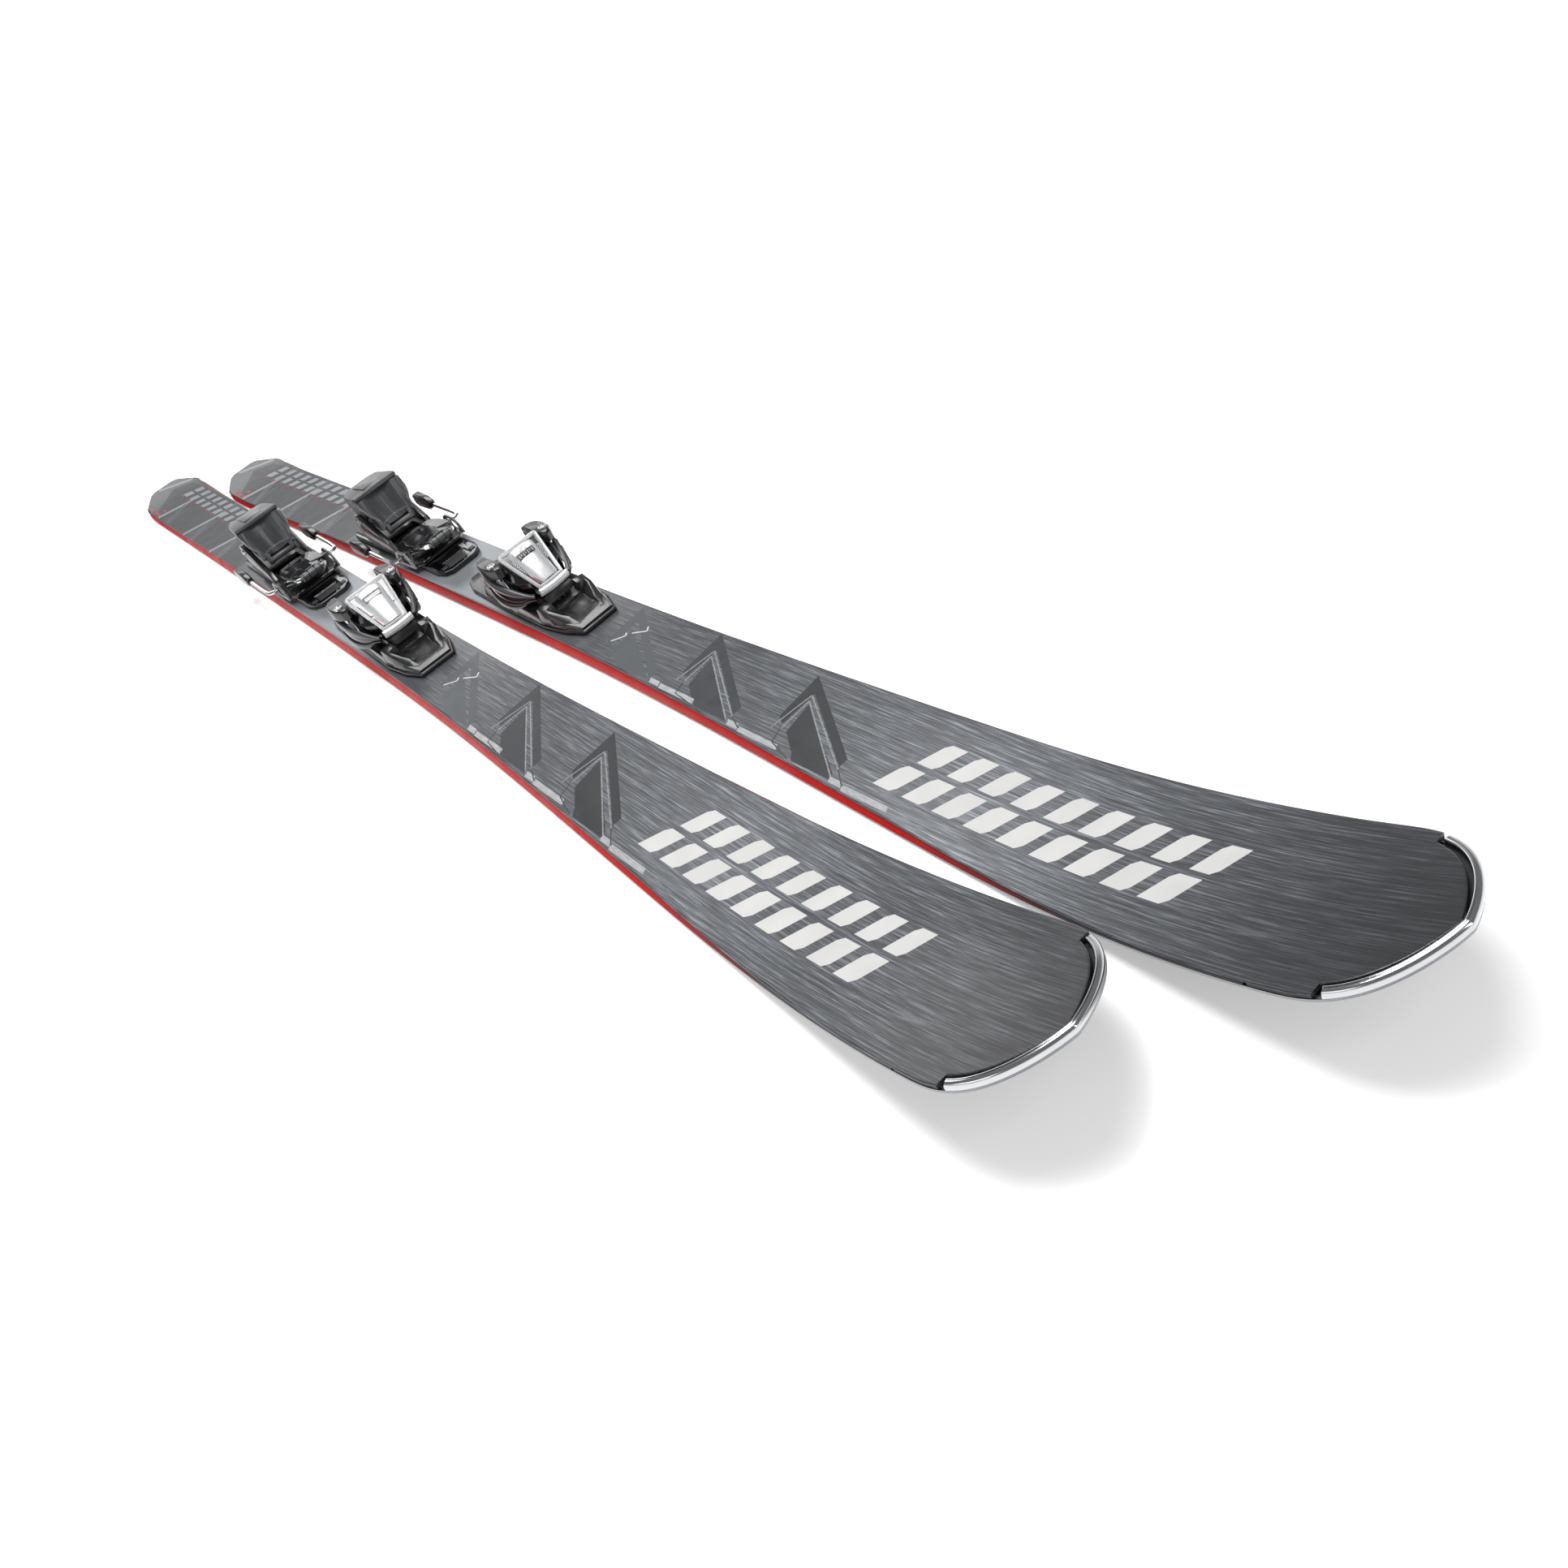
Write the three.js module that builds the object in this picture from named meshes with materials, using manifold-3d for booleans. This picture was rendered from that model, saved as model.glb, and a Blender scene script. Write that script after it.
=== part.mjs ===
// A pair of alpine skis with step-in bindings, lying side by side on the snow or the floor.
// Millimetres, +Z up, +X towards the ski tips, +Y towards the left ski.
// One function builds a ski with its binding; the two skis are equal copies of it.
// Inside a ski, x is measured from the tail end, y from the centreline and z from the running base.

import * as THREE from 'three';
import { mergeVertices } from 'three/addons/utils/BufferGeometryUtils.js';
import Module from 'manifold-3d';

const wasm = await Module();
wasm.setup();

// ---------------------------------------------------------------- driving dimensions

const SKI = {
  length: 1680,
  waistX: 740,
  waistHalf: 37.5,
  tailHalf: 42.5,
  tipHalf: 63.5,
  tipWidestX: 1590,
  tipStartX: 1600,
  tipHeight: 66,
  tipRiseX: 1320,
  tailRise: 8,
  tailRiseX: 110,
  tailThick: 7,
  waistThick: 14,
  tipThick: 6.5,
};

const LAYER = {
  gap: 0.3,
  edgeWidth: 2.2,
  edgeThick: 2,
  sheetThick: 1.2,
  sheetBevel: 2.2,
  railWidth: 6,
  railLean: 3,
};

const PAIR = {
  leftX: 120,
  leftY: 82,
  leftYaw: THREE.MathUtils.degToRad(2.4),
};

const GUARD = { startX: 1634, stepX: 1629, width: 5, clear: 5.8, proud: 0.8 };
const DECK = SKI.waistThick + LAYER.gap;          // where the binding sits on the ski
const SOLE = 38;                                  // height of the boot sole
const SLOPE = THREE.MathUtils.degToRad(38.8);     // fall of the toe cover towards the tip

const TOE = {
  plateRear: 655,
  plateNose: 872,
  plateThick: 4,
  rear: 772,
  front: 813,
  top: 77,
  bottom: 36.3,
  pinX: 777,
  pinY: 31,
  boreZ: 42.6,
  boreRadius: 5,
};

const HEEL = {
  trackRear: 395,
  trackFront: 618,
  trackThick: 5,
  pivotX: 458,
  pivotZ: 50,
  pinRadius: 3,
  cheekIn: 21.6,
  cheekOut: 27,
  boreZ: 66,
  boreRadius: 7,
  treadleX: 500,
  treadleZ: 41,
  faceTilt: 0.41,
  leverFall: 0.15,
  rimZ: 80.5,
};

const BRAKE = {
  wire: 2.2,
  pivotX: 548,
  pivotZ: 30,
  barX: 590,
  barZ: 41,
  footX: 466,
  footY: 44.2,
};

// ---------------------------------------------------------------- materials

const material = (color, roughness, metalness = 0, opacity = 1) => new THREE.MeshStandardMaterial({
  color, roughness, metalness, opacity, transparent: opacity < 1,
});

const MATERIALS = {
  topsheet: material(0x4a4e54, 0.45),
  core: material(0x8c6b45, 0.8),
  sidewall: material(0xc0302b, 0.4),
  base: material(0x17181a, 0.5),
  steel: material(0x9a9da1, 0.3, 1),
  chrome: material(0xd9dcdf, 0.12, 1),
  black: material(0x1d1e20, 0.42),
  charcoal: material(0x3a3c3f, 0.5),
  silver: material(0xa9acaf, 0.32, 0.9),
  clear: material(0xe6ebee, 0.08, 0, 0.4),
};

// ---------------------------------------------------------------- making and joining bodies

function flipIfInsideOut(points, faces) {
  let volume = 0;
  for (let i = 0; i < faces.length; i += 3) {
    const [a, b, c] = [points[faces[i]], points[faces[i + 1]], points[faces[i + 2]]];
    volume += a.dot(b.clone().cross(c));
  }
  if (volume < 0) faces.reverse();
}

// A body through a row of rings with the same number of points each; convex end rings.
function loft(rings, joined = false) {
  const count = rings[0].length;
  const points = rings.flat();
  const faces = [];
  const spans = joined ? rings.length : rings.length - 1;
  for (let i = 0; i < spans; i += 1) {
    const near = i * count;
    const far = ((i + 1) % rings.length) * count;
    for (let k = 0; k < count; k += 1) {
      const next = (k + 1) % count;
      faces.push(near + k, far + k, far + next, near + k, far + next, near + next);
    }
  }
  if (!joined) {
    const end = (rings.length - 1) * count;
    for (let k = 1; k < count - 1; k += 1) {
      faces.push(0, k, k + 1, end, end + k + 1, end + k);
    }
  }
  flipIfInsideOut(points, faces);
  const geometry = new THREE.BufferGeometry().setFromPoints(points);
  geometry.setIndex(faces);
  geometry.computeVertexNormals();
  return geometry;
}

function toSolid(geometry) {
  const bare = geometry.clone();
  bare.deleteAttribute('normal');
  bare.deleteAttribute('uv');
  const merged = mergeVertices(bare, 1e-4);
  return new wasm.Manifold(new wasm.Mesh({
    numProp: 3,
    vertProperties: new Float32Array(merged.attributes.position.array),
    triVerts: new Uint32Array(merged.index.array),
  }));
}

function toGeometry(body) {
  const mesh = body.getMesh();
  const geometry = new THREE.BufferGeometry();
  geometry.setAttribute('position', new THREE.BufferAttribute(mesh.vertProperties, 3));
  geometry.setIndex(new THREE.BufferAttribute(mesh.triVerts, 1));
  geometry.computeVertexNormals();
  return geometry;
}

function join(first, ...others) {
  return toGeometry(others.reduce((body, other) => body.add(toSolid(other)), toSolid(first)));
}

function cut(first, ...others) {
  return toGeometry(others.reduce((body, other) => body.subtract(toSolid(other)), toSolid(first)));
}

const vec = (x, y, z) => new THREE.Vector3(x, y, z);

// A block between two opposite corners.
function block(x0, x1, y0, y1, z0, z1) {
  const geometry = new THREE.BoxGeometry(x1 - x0, y1 - y0, z1 - z0);
  return geometry.translate((x0 + x1) / 2, (y0 + y1) / 2, (z0 + z1) / 2);
}

// A plate: an outline in plan, raised from z0 to z1, with a small chamfer all round.
function plate(outline, z0, z1, chamfer = 0) {
  const shape = new THREE.Shape(outline.map(([x, y]) => new THREE.Vector2(x, y)));
  const geometry = new THREE.ExtrudeGeometry(shape, {
    depth: z1 - z0 - 2 * chamfer,
    bevelEnabled: chamfer > 0,
    bevelThickness: chamfer,
    bevelSize: chamfer,
    bevelOffset: -chamfer,
    bevelSegments: 1,
  });
  return geometry.translate(0, 0, z0 + chamfer);
}

// A side view (x, z) given a width across the ski, centred on y.
function profile(outline, width, y = 0, chamfer = 0) {
  const geometry = plate(outline, -width / 2, width / 2, chamfer);
  return geometry.rotateX(Math.PI / 2).translate(0, y, 0);
}

// A round rod along one axis, centred on the given point.
function rod(axis, radius, length, x, y, z, sides = 16) {
  const geometry = new THREE.CylinderGeometry(radius, radius, length, sides);
  if (axis === 'x') geometry.rotateZ(Math.PI / 2);
  if (axis === 'z') geometry.rotateX(Math.PI / 2);
  return geometry.translate(x, y, z);
}

// Mirrored copies of one side's outline, from the rear round to the rear again.
function mirrored(half) {
  const back = half.slice().reverse().filter(([, y]) => y > 0);
  return [...half.map(([x, y]) => [x, -y]), ...back];
}

// ---------------------------------------------------------------- the ski's own shape

const smooth = (a, b, x) => THREE.MathUtils.smoothstep(x, a, b);

function tailHalf(x) {
  const corner = [[0, 15], [3, 21], [30, 39.4], [45, 41.9], [70, SKI.tailHalf]];
  for (let i = 1; i < corner.length; i += 1) {
    const [x0, y0] = corner[i - 1];
    const [x1, y1] = corner[i];
    if (x <= x1) return y0 + (y1 - y0) * (x - x0) / (x1 - x0);
  }
  const u = (SKI.waistX - x) / (SKI.waistX - 70);
  return SKI.waistHalf + (SKI.tailHalf - SKI.waistHalf) * u ** 1.9;
}

function halfWidth(x) {
  if (x <= SKI.waistX) return tailHalf(x);
  if (x <= SKI.tipStartX) {
    const u = Math.min(1, (x - SKI.waistX) / (SKI.tipWidestX - SKI.waistX));
    return SKI.waistHalf + (SKI.tipHalf - SKI.waistHalf) * Math.sin(Math.PI / 2 * u) ** 2.6;
  }
  const t = (x - SKI.tipStartX) / (SKI.length - SKI.tipStartX);
  return Math.max(7, SKI.tipHalf * Math.max(0, 1 - t ** 3) ** 0.75);
}

function baseHeight(x) {
  if (x < SKI.tailRiseX) return SKI.tailRise * (1 - x / SKI.tailRiseX) ** 2;
  const u = Math.max(0, (x - SKI.tipRiseX) / (SKI.length - SKI.tipRiseX));
  return SKI.tipHeight * u ** 2.4;
}

function thickness(x) {
  const body = SKI.tailThick + (SKI.waistThick - SKI.tailThick) * smooth(0, 400, x);
  return body - (SKI.waistThick - SKI.tipThick) * smooth(890, 1480, x);
}

const STATIONS = [0, 3, 16, 30, 45, 70, 110, 180, 280, 400, 520, 640, 760, 890, 980, 1070, 1160, 1250,
  1330, 1400, 1455, 1505, 1550, 1590, 1615, 1634, 1648, 1660, 1669, 1675, SKI.length];

// Stations between two ends, both included.
function stations(from, to) {
  return [from, ...STATIONS.filter((x) => x > from + 1 && x < to - 1), to];
}

// Half the width of a layer: inside the tip guard it keeps clear of the guard on every side.
function layerHalf(x, inset) {
  return x >= GUARD.stepX ? halfWidth(x + GUARD.clear) - GUARD.clear : halfWidth(x) - inset;
}

// Stations for a layer that steps in at the guard and ends behind it.
function layerStations(from) {
  return [...stations(from, GUARD.stepX - LAYER.gap), ...stations(GUARD.stepX, SKI.length - GUARD.clear)];
}

// A flat layer of the ski between two heights above the base line; its rim may be chamfered.
function layer(xs, half, low, high, chamfer = 0) {
  return loft(xs.map((x) => {
    const reach = half(x);
    const z = baseHeight(x);
    const [bottom, top] = [z + low(x), z + high(x)];
    const bevel = Math.min(chamfer, reach / 2);
    const shoulder = bevel ? (top + bottom) / 2 : top;
    const rim = (y, z) => vec(x, y, z);
    const ring = [rim(-reach, bottom), rim(reach, bottom), rim(reach, shoulder)];
    if (bevel) ring.push(rim(reach - bevel, top), rim(bevel - reach, top));
    return [...ring, rim(-reach, shoulder)];
  }));
}

const RAIL = { from: 40, to: 1588 };

// How far the sidewall leans in at its top; the sheet is that much narrower. It fades out at both ends.
const railLean = (x) => LAYER.railLean * smooth(10, 60, x) * (1 - smooth(1250, 1560, x));

function coreInset(x) {
  return x >= RAIL.from - 2 && x <= RAIL.to + 2 ? LAYER.railWidth + LAYER.gap : LAYER.gap;
}

function coreStations() {
  const xs = layerStations(0).filter((x) => Math.abs(x - RAIL.from) > 3 && Math.abs(x - RAIL.to) > 3);
  const steps = [RAIL.from - 2.5, RAIL.from - 2, RAIL.to + 2, RAIL.to + 2.5];
  return [...xs, ...steps].sort((a, b) => a - b);
}

const coreLow = () => LAYER.edgeThick + LAYER.gap;
const coreHigh = (x) => thickness(x) - LAYER.sheetThick - LAYER.gap;

function sidewall(side) {
  return loft(stations(RAIL.from, RAIL.to).map((x) => {
    const outer = halfWidth(x);
    const inner = outer - LAYER.railWidth;
    const low = baseHeight(x) + coreLow();
    const high = baseHeight(x) + coreHigh(x);
    return [vec(x, side * inner, low), vec(x, side * outer, low),
      vec(x, side * (outer - 0.6 - railLean(x)), high), vec(x, side * inner, high)];
  }));
}

// Both sides of the outline as one closed loop of x and y, with the way inwards at each point.
function outlineLoop() {
  const half = STATIONS.map((x) => vec(x, halfWidth(x), 0));
  const loop = [...half.map((p) => vec(p.x, -p.y, 0)), ...half.reverse()];
  return loop.map((point, i) => {
    const before = loop[(i + loop.length - 1) % loop.length];
    const after = loop[(i + 1) % loop.length];
    const along = after.clone().sub(before).normalize();
    return { point, inward: vec(-along.y, along.x, 0) };
  });
}

function edgeRing() {
  const rings = outlineLoop().map(({ point, inward }) => {
    const inner = point.clone().addScaledVector(inward, LAYER.edgeWidth);
    const [z0, z1] = [baseHeight(point.x), baseHeight(inner.x)];
    return [vec(point.x, point.y, z0), vec(inner.x, inner.y, z1),
      vec(inner.x, inner.y, z1 + LAYER.edgeThick), vec(point.x, point.y, z0 + LAYER.edgeThick)];
  });
  return loft(rings, true);
}

function tipGuard() {
  const ends = outlineLoop().filter(({ point }) => point.x >= GUARD.startX);
  return loft(ends.map(({ point, inward }) => {
    const inner = point.clone().addScaledVector(inward, GUARD.width);
    const low = LAYER.edgeThick + LAYER.gap;
    const ring = [[point, low], [inner, low], [inner, 0], [point, 0]];
    return ring.map(([p, foot]) => {
      const top = thickness(p.x) + GUARD.proud;
      return vec(p.x, p.y, baseHeight(p.x) + (foot || top));
    });
  }));
}

function skiPieces() {
  const sheetHalf = (x) => layerHalf(x, railLean(x));
  const coreHalf = (x) => layerHalf(x, coreInset(x));
  const baseHalf = (x) => {
    const clear = LAYER.edgeWidth + LAYER.gap;
    if (x < SKI.tailRiseX) return halfWidth(x - clear) - clear;
    return halfWidth(x > SKI.tipStartX ? x + clear : x) - clear;
  };
  const sheetLow = (x) => thickness(x) - LAYER.sheetThick;
  return [
    ['topsheet', 'topsheet', layer(layerStations(0), sheetHalf, sheetLow, thickness, LAYER.sheetBevel)],
    ['core', 'core', layer(coreStations(), coreHalf, coreLow, coreHigh)],
    ['sidewall_left', 'sidewall', sidewall(1)],
    ['sidewall_right', 'sidewall', sidewall(-1)],
    ['base', 'base', layer(stations(5, SKI.length - 3), baseHalf, () => 0, () => 1.8)],
    ['steel_edge', 'steel', edgeRing()],
    ['tip_guard', 'chrome', tipGuard()],
  ];
}

// ---------------------------------------------------------------- toe piece

function toePlate() {
  const half = [[TOE.plateRear, 14], [TOE.plateRear + 6, 21], [TOE.plateRear + 20, 26], [740, 30], [820, 31],
    [TOE.plateNose - 22, 27], [TOE.plateNose, 19]];
  return plate(mirrored(half), DECK, DECK + TOE.plateThick, 0.8);
}

// A section across the toe: bottom and top half widths, standing on the same foot.
function crossRing(x, low, high, wide, narrow) {
  return [vec(x, -wide, low), vec(x, wide, low), vec(x, narrow, high), vec(x, -narrow, high)];
}

function toeBase() {
  const foot = DECK + TOE.plateThick + LAYER.gap;
  const body = loft([
    crossRing(702, foot, 26, 25, 22),
    crossRing(712, foot, 29.6, 27, 25),
    crossRing(768, foot, 29.6, 30, 26),
    crossRing(776, foot, 27, 30.5, 29),
    crossRing(812, foot, 27, 30.5, 29),
    crossRing(846, foot, 23, 26, 23),
    crossRing(868, foot, 20, 18.5, 17),
  ]);
  const pedestal = block(775, 812, -17, 17, 26, 36);
  const shoulders = [1, -1].map((side) => loft([
    [816, 13, 30, 36], [831, 13, 28.5, 33], [850, 12, 23, 24.5], [860, 11, 19, 21],
  ].map(([x, inner, outer, top]) => [
    vec(x, side * inner, 20), vec(x, side * outer, 20),
    vec(x, side * outer * 0.93, top - 2), vec(x, side * (inner + 3), top),
  ])));
  const scoop = rod('x', 30, 70, 860, 0, 51.5, 28);
  return cut(join(body, pedestal, ...shoulders), scoop);
}

// The upper housing carries the release spring in a bore that opens at its front face.
function toeHousing() {
  const shell = loft([
    crossRing(TOE.rear, TOE.bottom, TOE.top - 1.5, 17, 20.5),
    crossRing(775.5, TOE.bottom, TOE.top, 17, 20.8),
    crossRing(TOE.front, TOE.bottom, 46.8, 13, 12.5),
  ]);
  return cut(shell, rod('x', TOE.boreRadius, 44, 799, 0, TOE.boreZ, 20));
}

// The silver cover and its clear frame lie in the sloping plane of the housing's top.
const COVER = { length: 50, rear: 23.2, front: 14.5, rim: 3.2, thick: 2.4 };

function trapezoid(from, to, inset) {
  const half = (u) => COVER.rear + (COVER.front - COVER.rear) * u / COVER.length - inset;
  return [[from, -half(from)], [to, -half(to)], [to, half(to)], [from, half(from)]];
}

function toeCover() {
  const { length, rim, thick } = COVER;
  const panel = plate(trapezoid(rim, length - rim, rim + LAYER.gap), LAYER.gap, thick, 0.5);
  return cut(panel, block(8, 17.5, -11, 11, thick - 1, thick + 1));
}

function toeBezel() {
  const { length, rim, thick } = COVER;
  const outer = plate(trapezoid(0, length, 0), LAYER.gap, thick + 0.8, 0.6);
  const inner = plate(trapezoid(rim - LAYER.gap, length - rim + LAYER.gap, rim), -1, thick + 3);
  const brow = block(length - 1, length + 6, -15, 15, LAYER.gap, thick + 0.4);
  const lip = block(length + 2.4, length + 6, -18, 18, -4.5, thick);
  return join(cut(outer, inner), brow, lip);
}

// One wing: a band that sweeps back from its pivot round the boot toe, with a head over its end.
function toeWing(side) {
  const band = [
    [810, 20.5, 36.6, 41], [803, 25.5, 36.6, 43], [790, 32.5, 29.5, 46], [772, 36, 29.5, 56],
    [758, 35.5, 34, 66], [750, 31, 41, 71], [747.5, 26, 46, 72],
  ];
  const rings = band.map(([x, y, low, high], i) => {
    const [before, after] = [band[Math.max(0, i - 1)], band[Math.min(band.length - 1, i + 1)]];
    const along = vec(after[0] - before[0], after[1] - before[1], 0).normalize();
    const inward = vec(along.y, -along.x, 0).multiplyScalar(y > 0 && along.x < 0 ? -4 : 4);
    const inner = vec(x, y, 0).add(inward);
    return [vec(x, side * y, low), vec(x, side * y, high),
      vec(inner.x, side * inner.y, high), vec(inner.x, side * inner.y, low)];
  });
  const outline = [[747.5, 23], [747.5, 30], [752, 35], [764, 38], [778, 37.5], [787, 32], [787, 26.5],
    [779, 24]].map(([x, y]) => [x, side * y]);
  const head = plate(side < 0 ? outline.reverse() : outline, 66, 74, 0.8);
  const hole = rod('z', 2.6, 30, TOE.pinX, side * TOE.pinY, 70, 14);
  return cut(join(loft(rings), head), hole);
}

function toePin(side) {
  const points = [[0, 58], [2.2, 58], [2.2, 74.3], [4.2, 74.3], [4.2, 75.4], [3, 76.4], [0, 76.4]];
  const pin = new THREE.LatheGeometry(points.map(([r, z]) => new THREE.Vector2(r, z)), 14);
  return pin.rotateX(Math.PI / 2).translate(TOE.pinX, side * TOE.pinY, 0);
}

// A compression spring: round wire wound along x.
function spring(x0, x1, radius, wire, turns, z) {
  const steps = turns * 8;
  const points = [];
  for (let i = 0; i <= steps; i += 1) {
    const angle = i / 8 * 2 * Math.PI;
    const x = x0 + (x1 - x0) * i / steps;
    points.push(vec(x, radius * Math.cos(angle), z + radius * Math.sin(angle)));
  }
  return wireAlong(points, wire, steps, 5);
}

function wireAlong(points, radius, steps, sides) {
  const shape = new THREE.Shape();
  for (let i = 0; i < sides; i += 1) {
    const angle = i / sides * 2 * Math.PI;
    const [x, y] = [radius * Math.cos(angle), radius * Math.sin(angle)];
    if (i === 0) shape.moveTo(x, y);
    else shape.lineTo(x, y);
  }
  const extrudePath = new THREE.CatmullRomCurve3(points, false, 'centripetal');
  return new THREE.ExtrudeGeometry(shape, { steps, extrudePath, bevelEnabled: false });
}

// An adjusting screw along x: a round head with a straight slot across the face at x1.
function slottedScrew(x0, x1, radius, z) {
  const face = x1 > x0 ? 1 : -1;
  const head = rod('x', radius, Math.abs(x1 - x0), (x0 + x1) / 2, 0, z, 18);
  const slot = block(-1.4, 1.4, -radius - 1, radius + 1, -0.8, 0.8).translate(x1 - face * 0.4, 0, z);
  return cut(head, slot);
}

function toePieces() {
  return [
    ['toe_plate', 'black', toePlate()],
    ['toe_base', 'black', toeBase()],
    ['toe_housing', 'black', toeHousing()],
    ['toe_wing_left', 'black', toeWing(1)],
    ['toe_wing_right', 'black', toeWing(-1)],
    ['toe_pin_left', 'steel', toePin(1)],
    ['toe_pin_right', 'steel', toePin(-1)],
    ['gliding_plate', 'charcoal', plate(mirrored([[712, 22], [716, 25], [764, 25], [768, 22]]), 30, SOLE, 1)],
    ['toe_spring', 'steel', spring(778, 800, 3.6, 0.75, 6, TOE.boreZ)],
    ['toe_screw', 'steel', slottedScrew(802.5, 812, 4.6, TOE.boreZ)],
  ];
}

// ---------------------------------------------------------------- heel piece

function heelTrack() {
  const half = [[HEEL.trackRear, 20], [405, 26], [600, 26], [612, 22.5], [HEEL.trackFront, 15]];
  const body = plate(mirrored(half), DECK, DECK + HEEL.trackThick, 0.8);
  return cut(body, block(594, 611, -14, 14, DECK + HEEL.trackThick - 1.2, DECK + HEEL.trackThick + 2));
}

// The carriage slides on the track and carries the cup's pivot and the brake's bearings.
function heelCarriage() {
  const low = DECK + HEEL.trackThick + LAYER.gap;
  const outline = mirrored([[446, 20], [454, 27], [530, 27], [540, 32], [566, 32], [574, 24]]);
  const floor = plate(outline, low, 24, 0.6);
  const cheeks = [1, -1].map((side) => profile(
    [[448, 23], [512, 23], [506, 33], [470, 53], [459, 58], [448, 56], [443, 42]],
    HEEL.cheekOut - HEEL.cheekIn, side * (HEEL.cheekOut + HEEL.cheekIn) / 2, 0.5,
  ));
  const bearings = [1, -1].map((side) => profile(
    [[541, 23], [556, 23], [553, 34], [544, 34]], 6, side * 28, 0.5,
  ));
  const window = block(476, 512, -18, 18, low - 2, 30);
  const pinHole = rod('y', HEEL.pinRadius + 0.3, 80, HEEL.pivotX, 0, HEEL.pivotZ, 18);
  const wireHole = rod('y', BRAKE.wire + 0.8, 80, BRAKE.pivotX, 0, BRAKE.pivotZ, 16);
  return cut(join(floor, ...cheeks, ...bearings), window, pinHole, wireHole);
}

// The cup: horizontal sections from the foot to the rim, hollowed at the front for the boot heel.
function heelCup() {
  const sections = [
    [34, 446, 470, 15, 16], [42, 440, 494, 18, 19], [50, 437, 502, 19, 20.8], [58, 435, 502, 20, 21],
    [63, 435, 500, 21, 24], [70, 435, 496, 22, 26.5], [81, 437, 489, 23, 27],
  ];
  const body = loft(sections.map(([z, x0, x1, rear, front]) => [
    vec(x0, -rear, z), vec(x1, -front, z), vec(x1, front, z), vec(x0, rear, z),
  ]));
  const hollow = new THREE.CylinderGeometry(30, 26, 80, 32);
  hollow.rotateX(Math.PI / 2).rotateY(-HEEL.faceTilt).translate(517.5, 0, 66);
  const above = block(-70, 20, -40, 40, 0, 30).rotateY(-HEEL.leverFall).translate(487, 0, HEEL.rimZ);
  const arms = [1, -1].map((side) => profile(
    [[488, 52], [500, 50], [503.5, 42], [501, 37], [496, 38]], 5, side * 14.5,
  ));
  const treadle = rod('y', 3.5, 31, HEEL.treadleX, 0, HEEL.treadleZ, 14);
  const pinHole = rod('y', HEEL.pinRadius + 0.3, 80, HEEL.pivotX, 0, HEEL.pivotZ, 18);
  const bore = rod('x', HEEL.boreRadius, 46, 453, 0, HEEL.boreZ, 20);
  return cut(join(cut(body, hollow, above), ...arms, treadle), pinHole, bore);
}

function heelLever() {
  const half = [[436, 12], [441, 22], [452, 24.5], [478, 27], [487, 27]];
  const shelf = plate(mirrored(half), 0, 4.6, 0.8);
  const rib = profile([[440, 4], [484, 4], [480, 6.2], [452, 6.2]], 22, 0, 0.4);
  const lever = join(shelf, rib);
  return lever.translate(-487, 0, LAYER.gap).rotateY(-HEEL.leverFall).translate(487, 0, HEEL.rimZ);
}

function heelPin() {
  return rod('y', HEEL.pinRadius, 58, HEEL.pivotX, 0, HEEL.pivotZ, 16);
}

// ---------------------------------------------------------------- brake

function brakeWire() {
  const { pivotX, pivotZ, barX, barZ, footX, footY } = BRAKE;
  const half = [
    [footX, footY, pivotZ], [footX + 30, footY, pivotZ], [pivotX - 14, footY - 0.2, pivotZ],
    [pivotX - 3, footY - 1.6, pivotZ], [pivotX, footY - 6, pivotZ], [pivotX, 33, pivotZ],
    [pivotX, 26, pivotZ], [pivotX + 1.5, 22.5, pivotZ + 0.5], [pivotX + 10, 20.6, pivotZ + 2.6],
    [barX - 12, 18.4, barZ - 2.6], [barX - 2, 16.6, barZ - 0.2], [barX, 13.5, barZ], [barX, 6, barZ],
  ];
  const right = half.map(([x, y, z]) => vec(x, -y, z));
  const left = half.reverse().map(([x, y, z]) => vec(x, y, z));
  return wireAlong([...right, ...left], BRAKE.wire, 64, 7);
}

function brakeFoot(side) {
  const outline = [[447, 25], [455, 22], [480, 23], [487, 27], [487, 34], [478, 38], [456, 39], [448, 36]];
  const pad = profile(outline, 7.6, side * BRAKE.footY, 1.4);
  const bore = rod('x', BRAKE.wire + 0.35, 24, BRAKE.footX + 11.2, side * BRAKE.footY, BRAKE.pivotZ, 12);
  return cut(pad, bore);
}

// The treadle that the boot presses down: a plate on the wire's cross bar.
function brakePedal() {
  const half = [[528, 17], [531, 21], [548, 24], [573, 22], [575, 13], [588, 12.6]];
  const sheet = plate(mirrored(half), 0, 3.4, 0.6);
  sheet.translate(-BRAKE.barX, 0, 0).rotateY(-0.09).translate(BRAKE.barX, 0, BRAKE.barZ + 1);
  const ridge = profile([[534, 39.5], [584, 44], [580, 46.4], [540, 42.6]], 9, 0, 0.8);
  const roll = rod('y', 4.6, 25, BRAKE.barX, 0, BRAKE.barZ, 18);
  const bore = rod('y', BRAKE.wire + 0.35, 40, BRAKE.barX, 0, BRAKE.barZ, 14);
  return cut(join(sheet, ridge, roll), bore);
}

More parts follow.
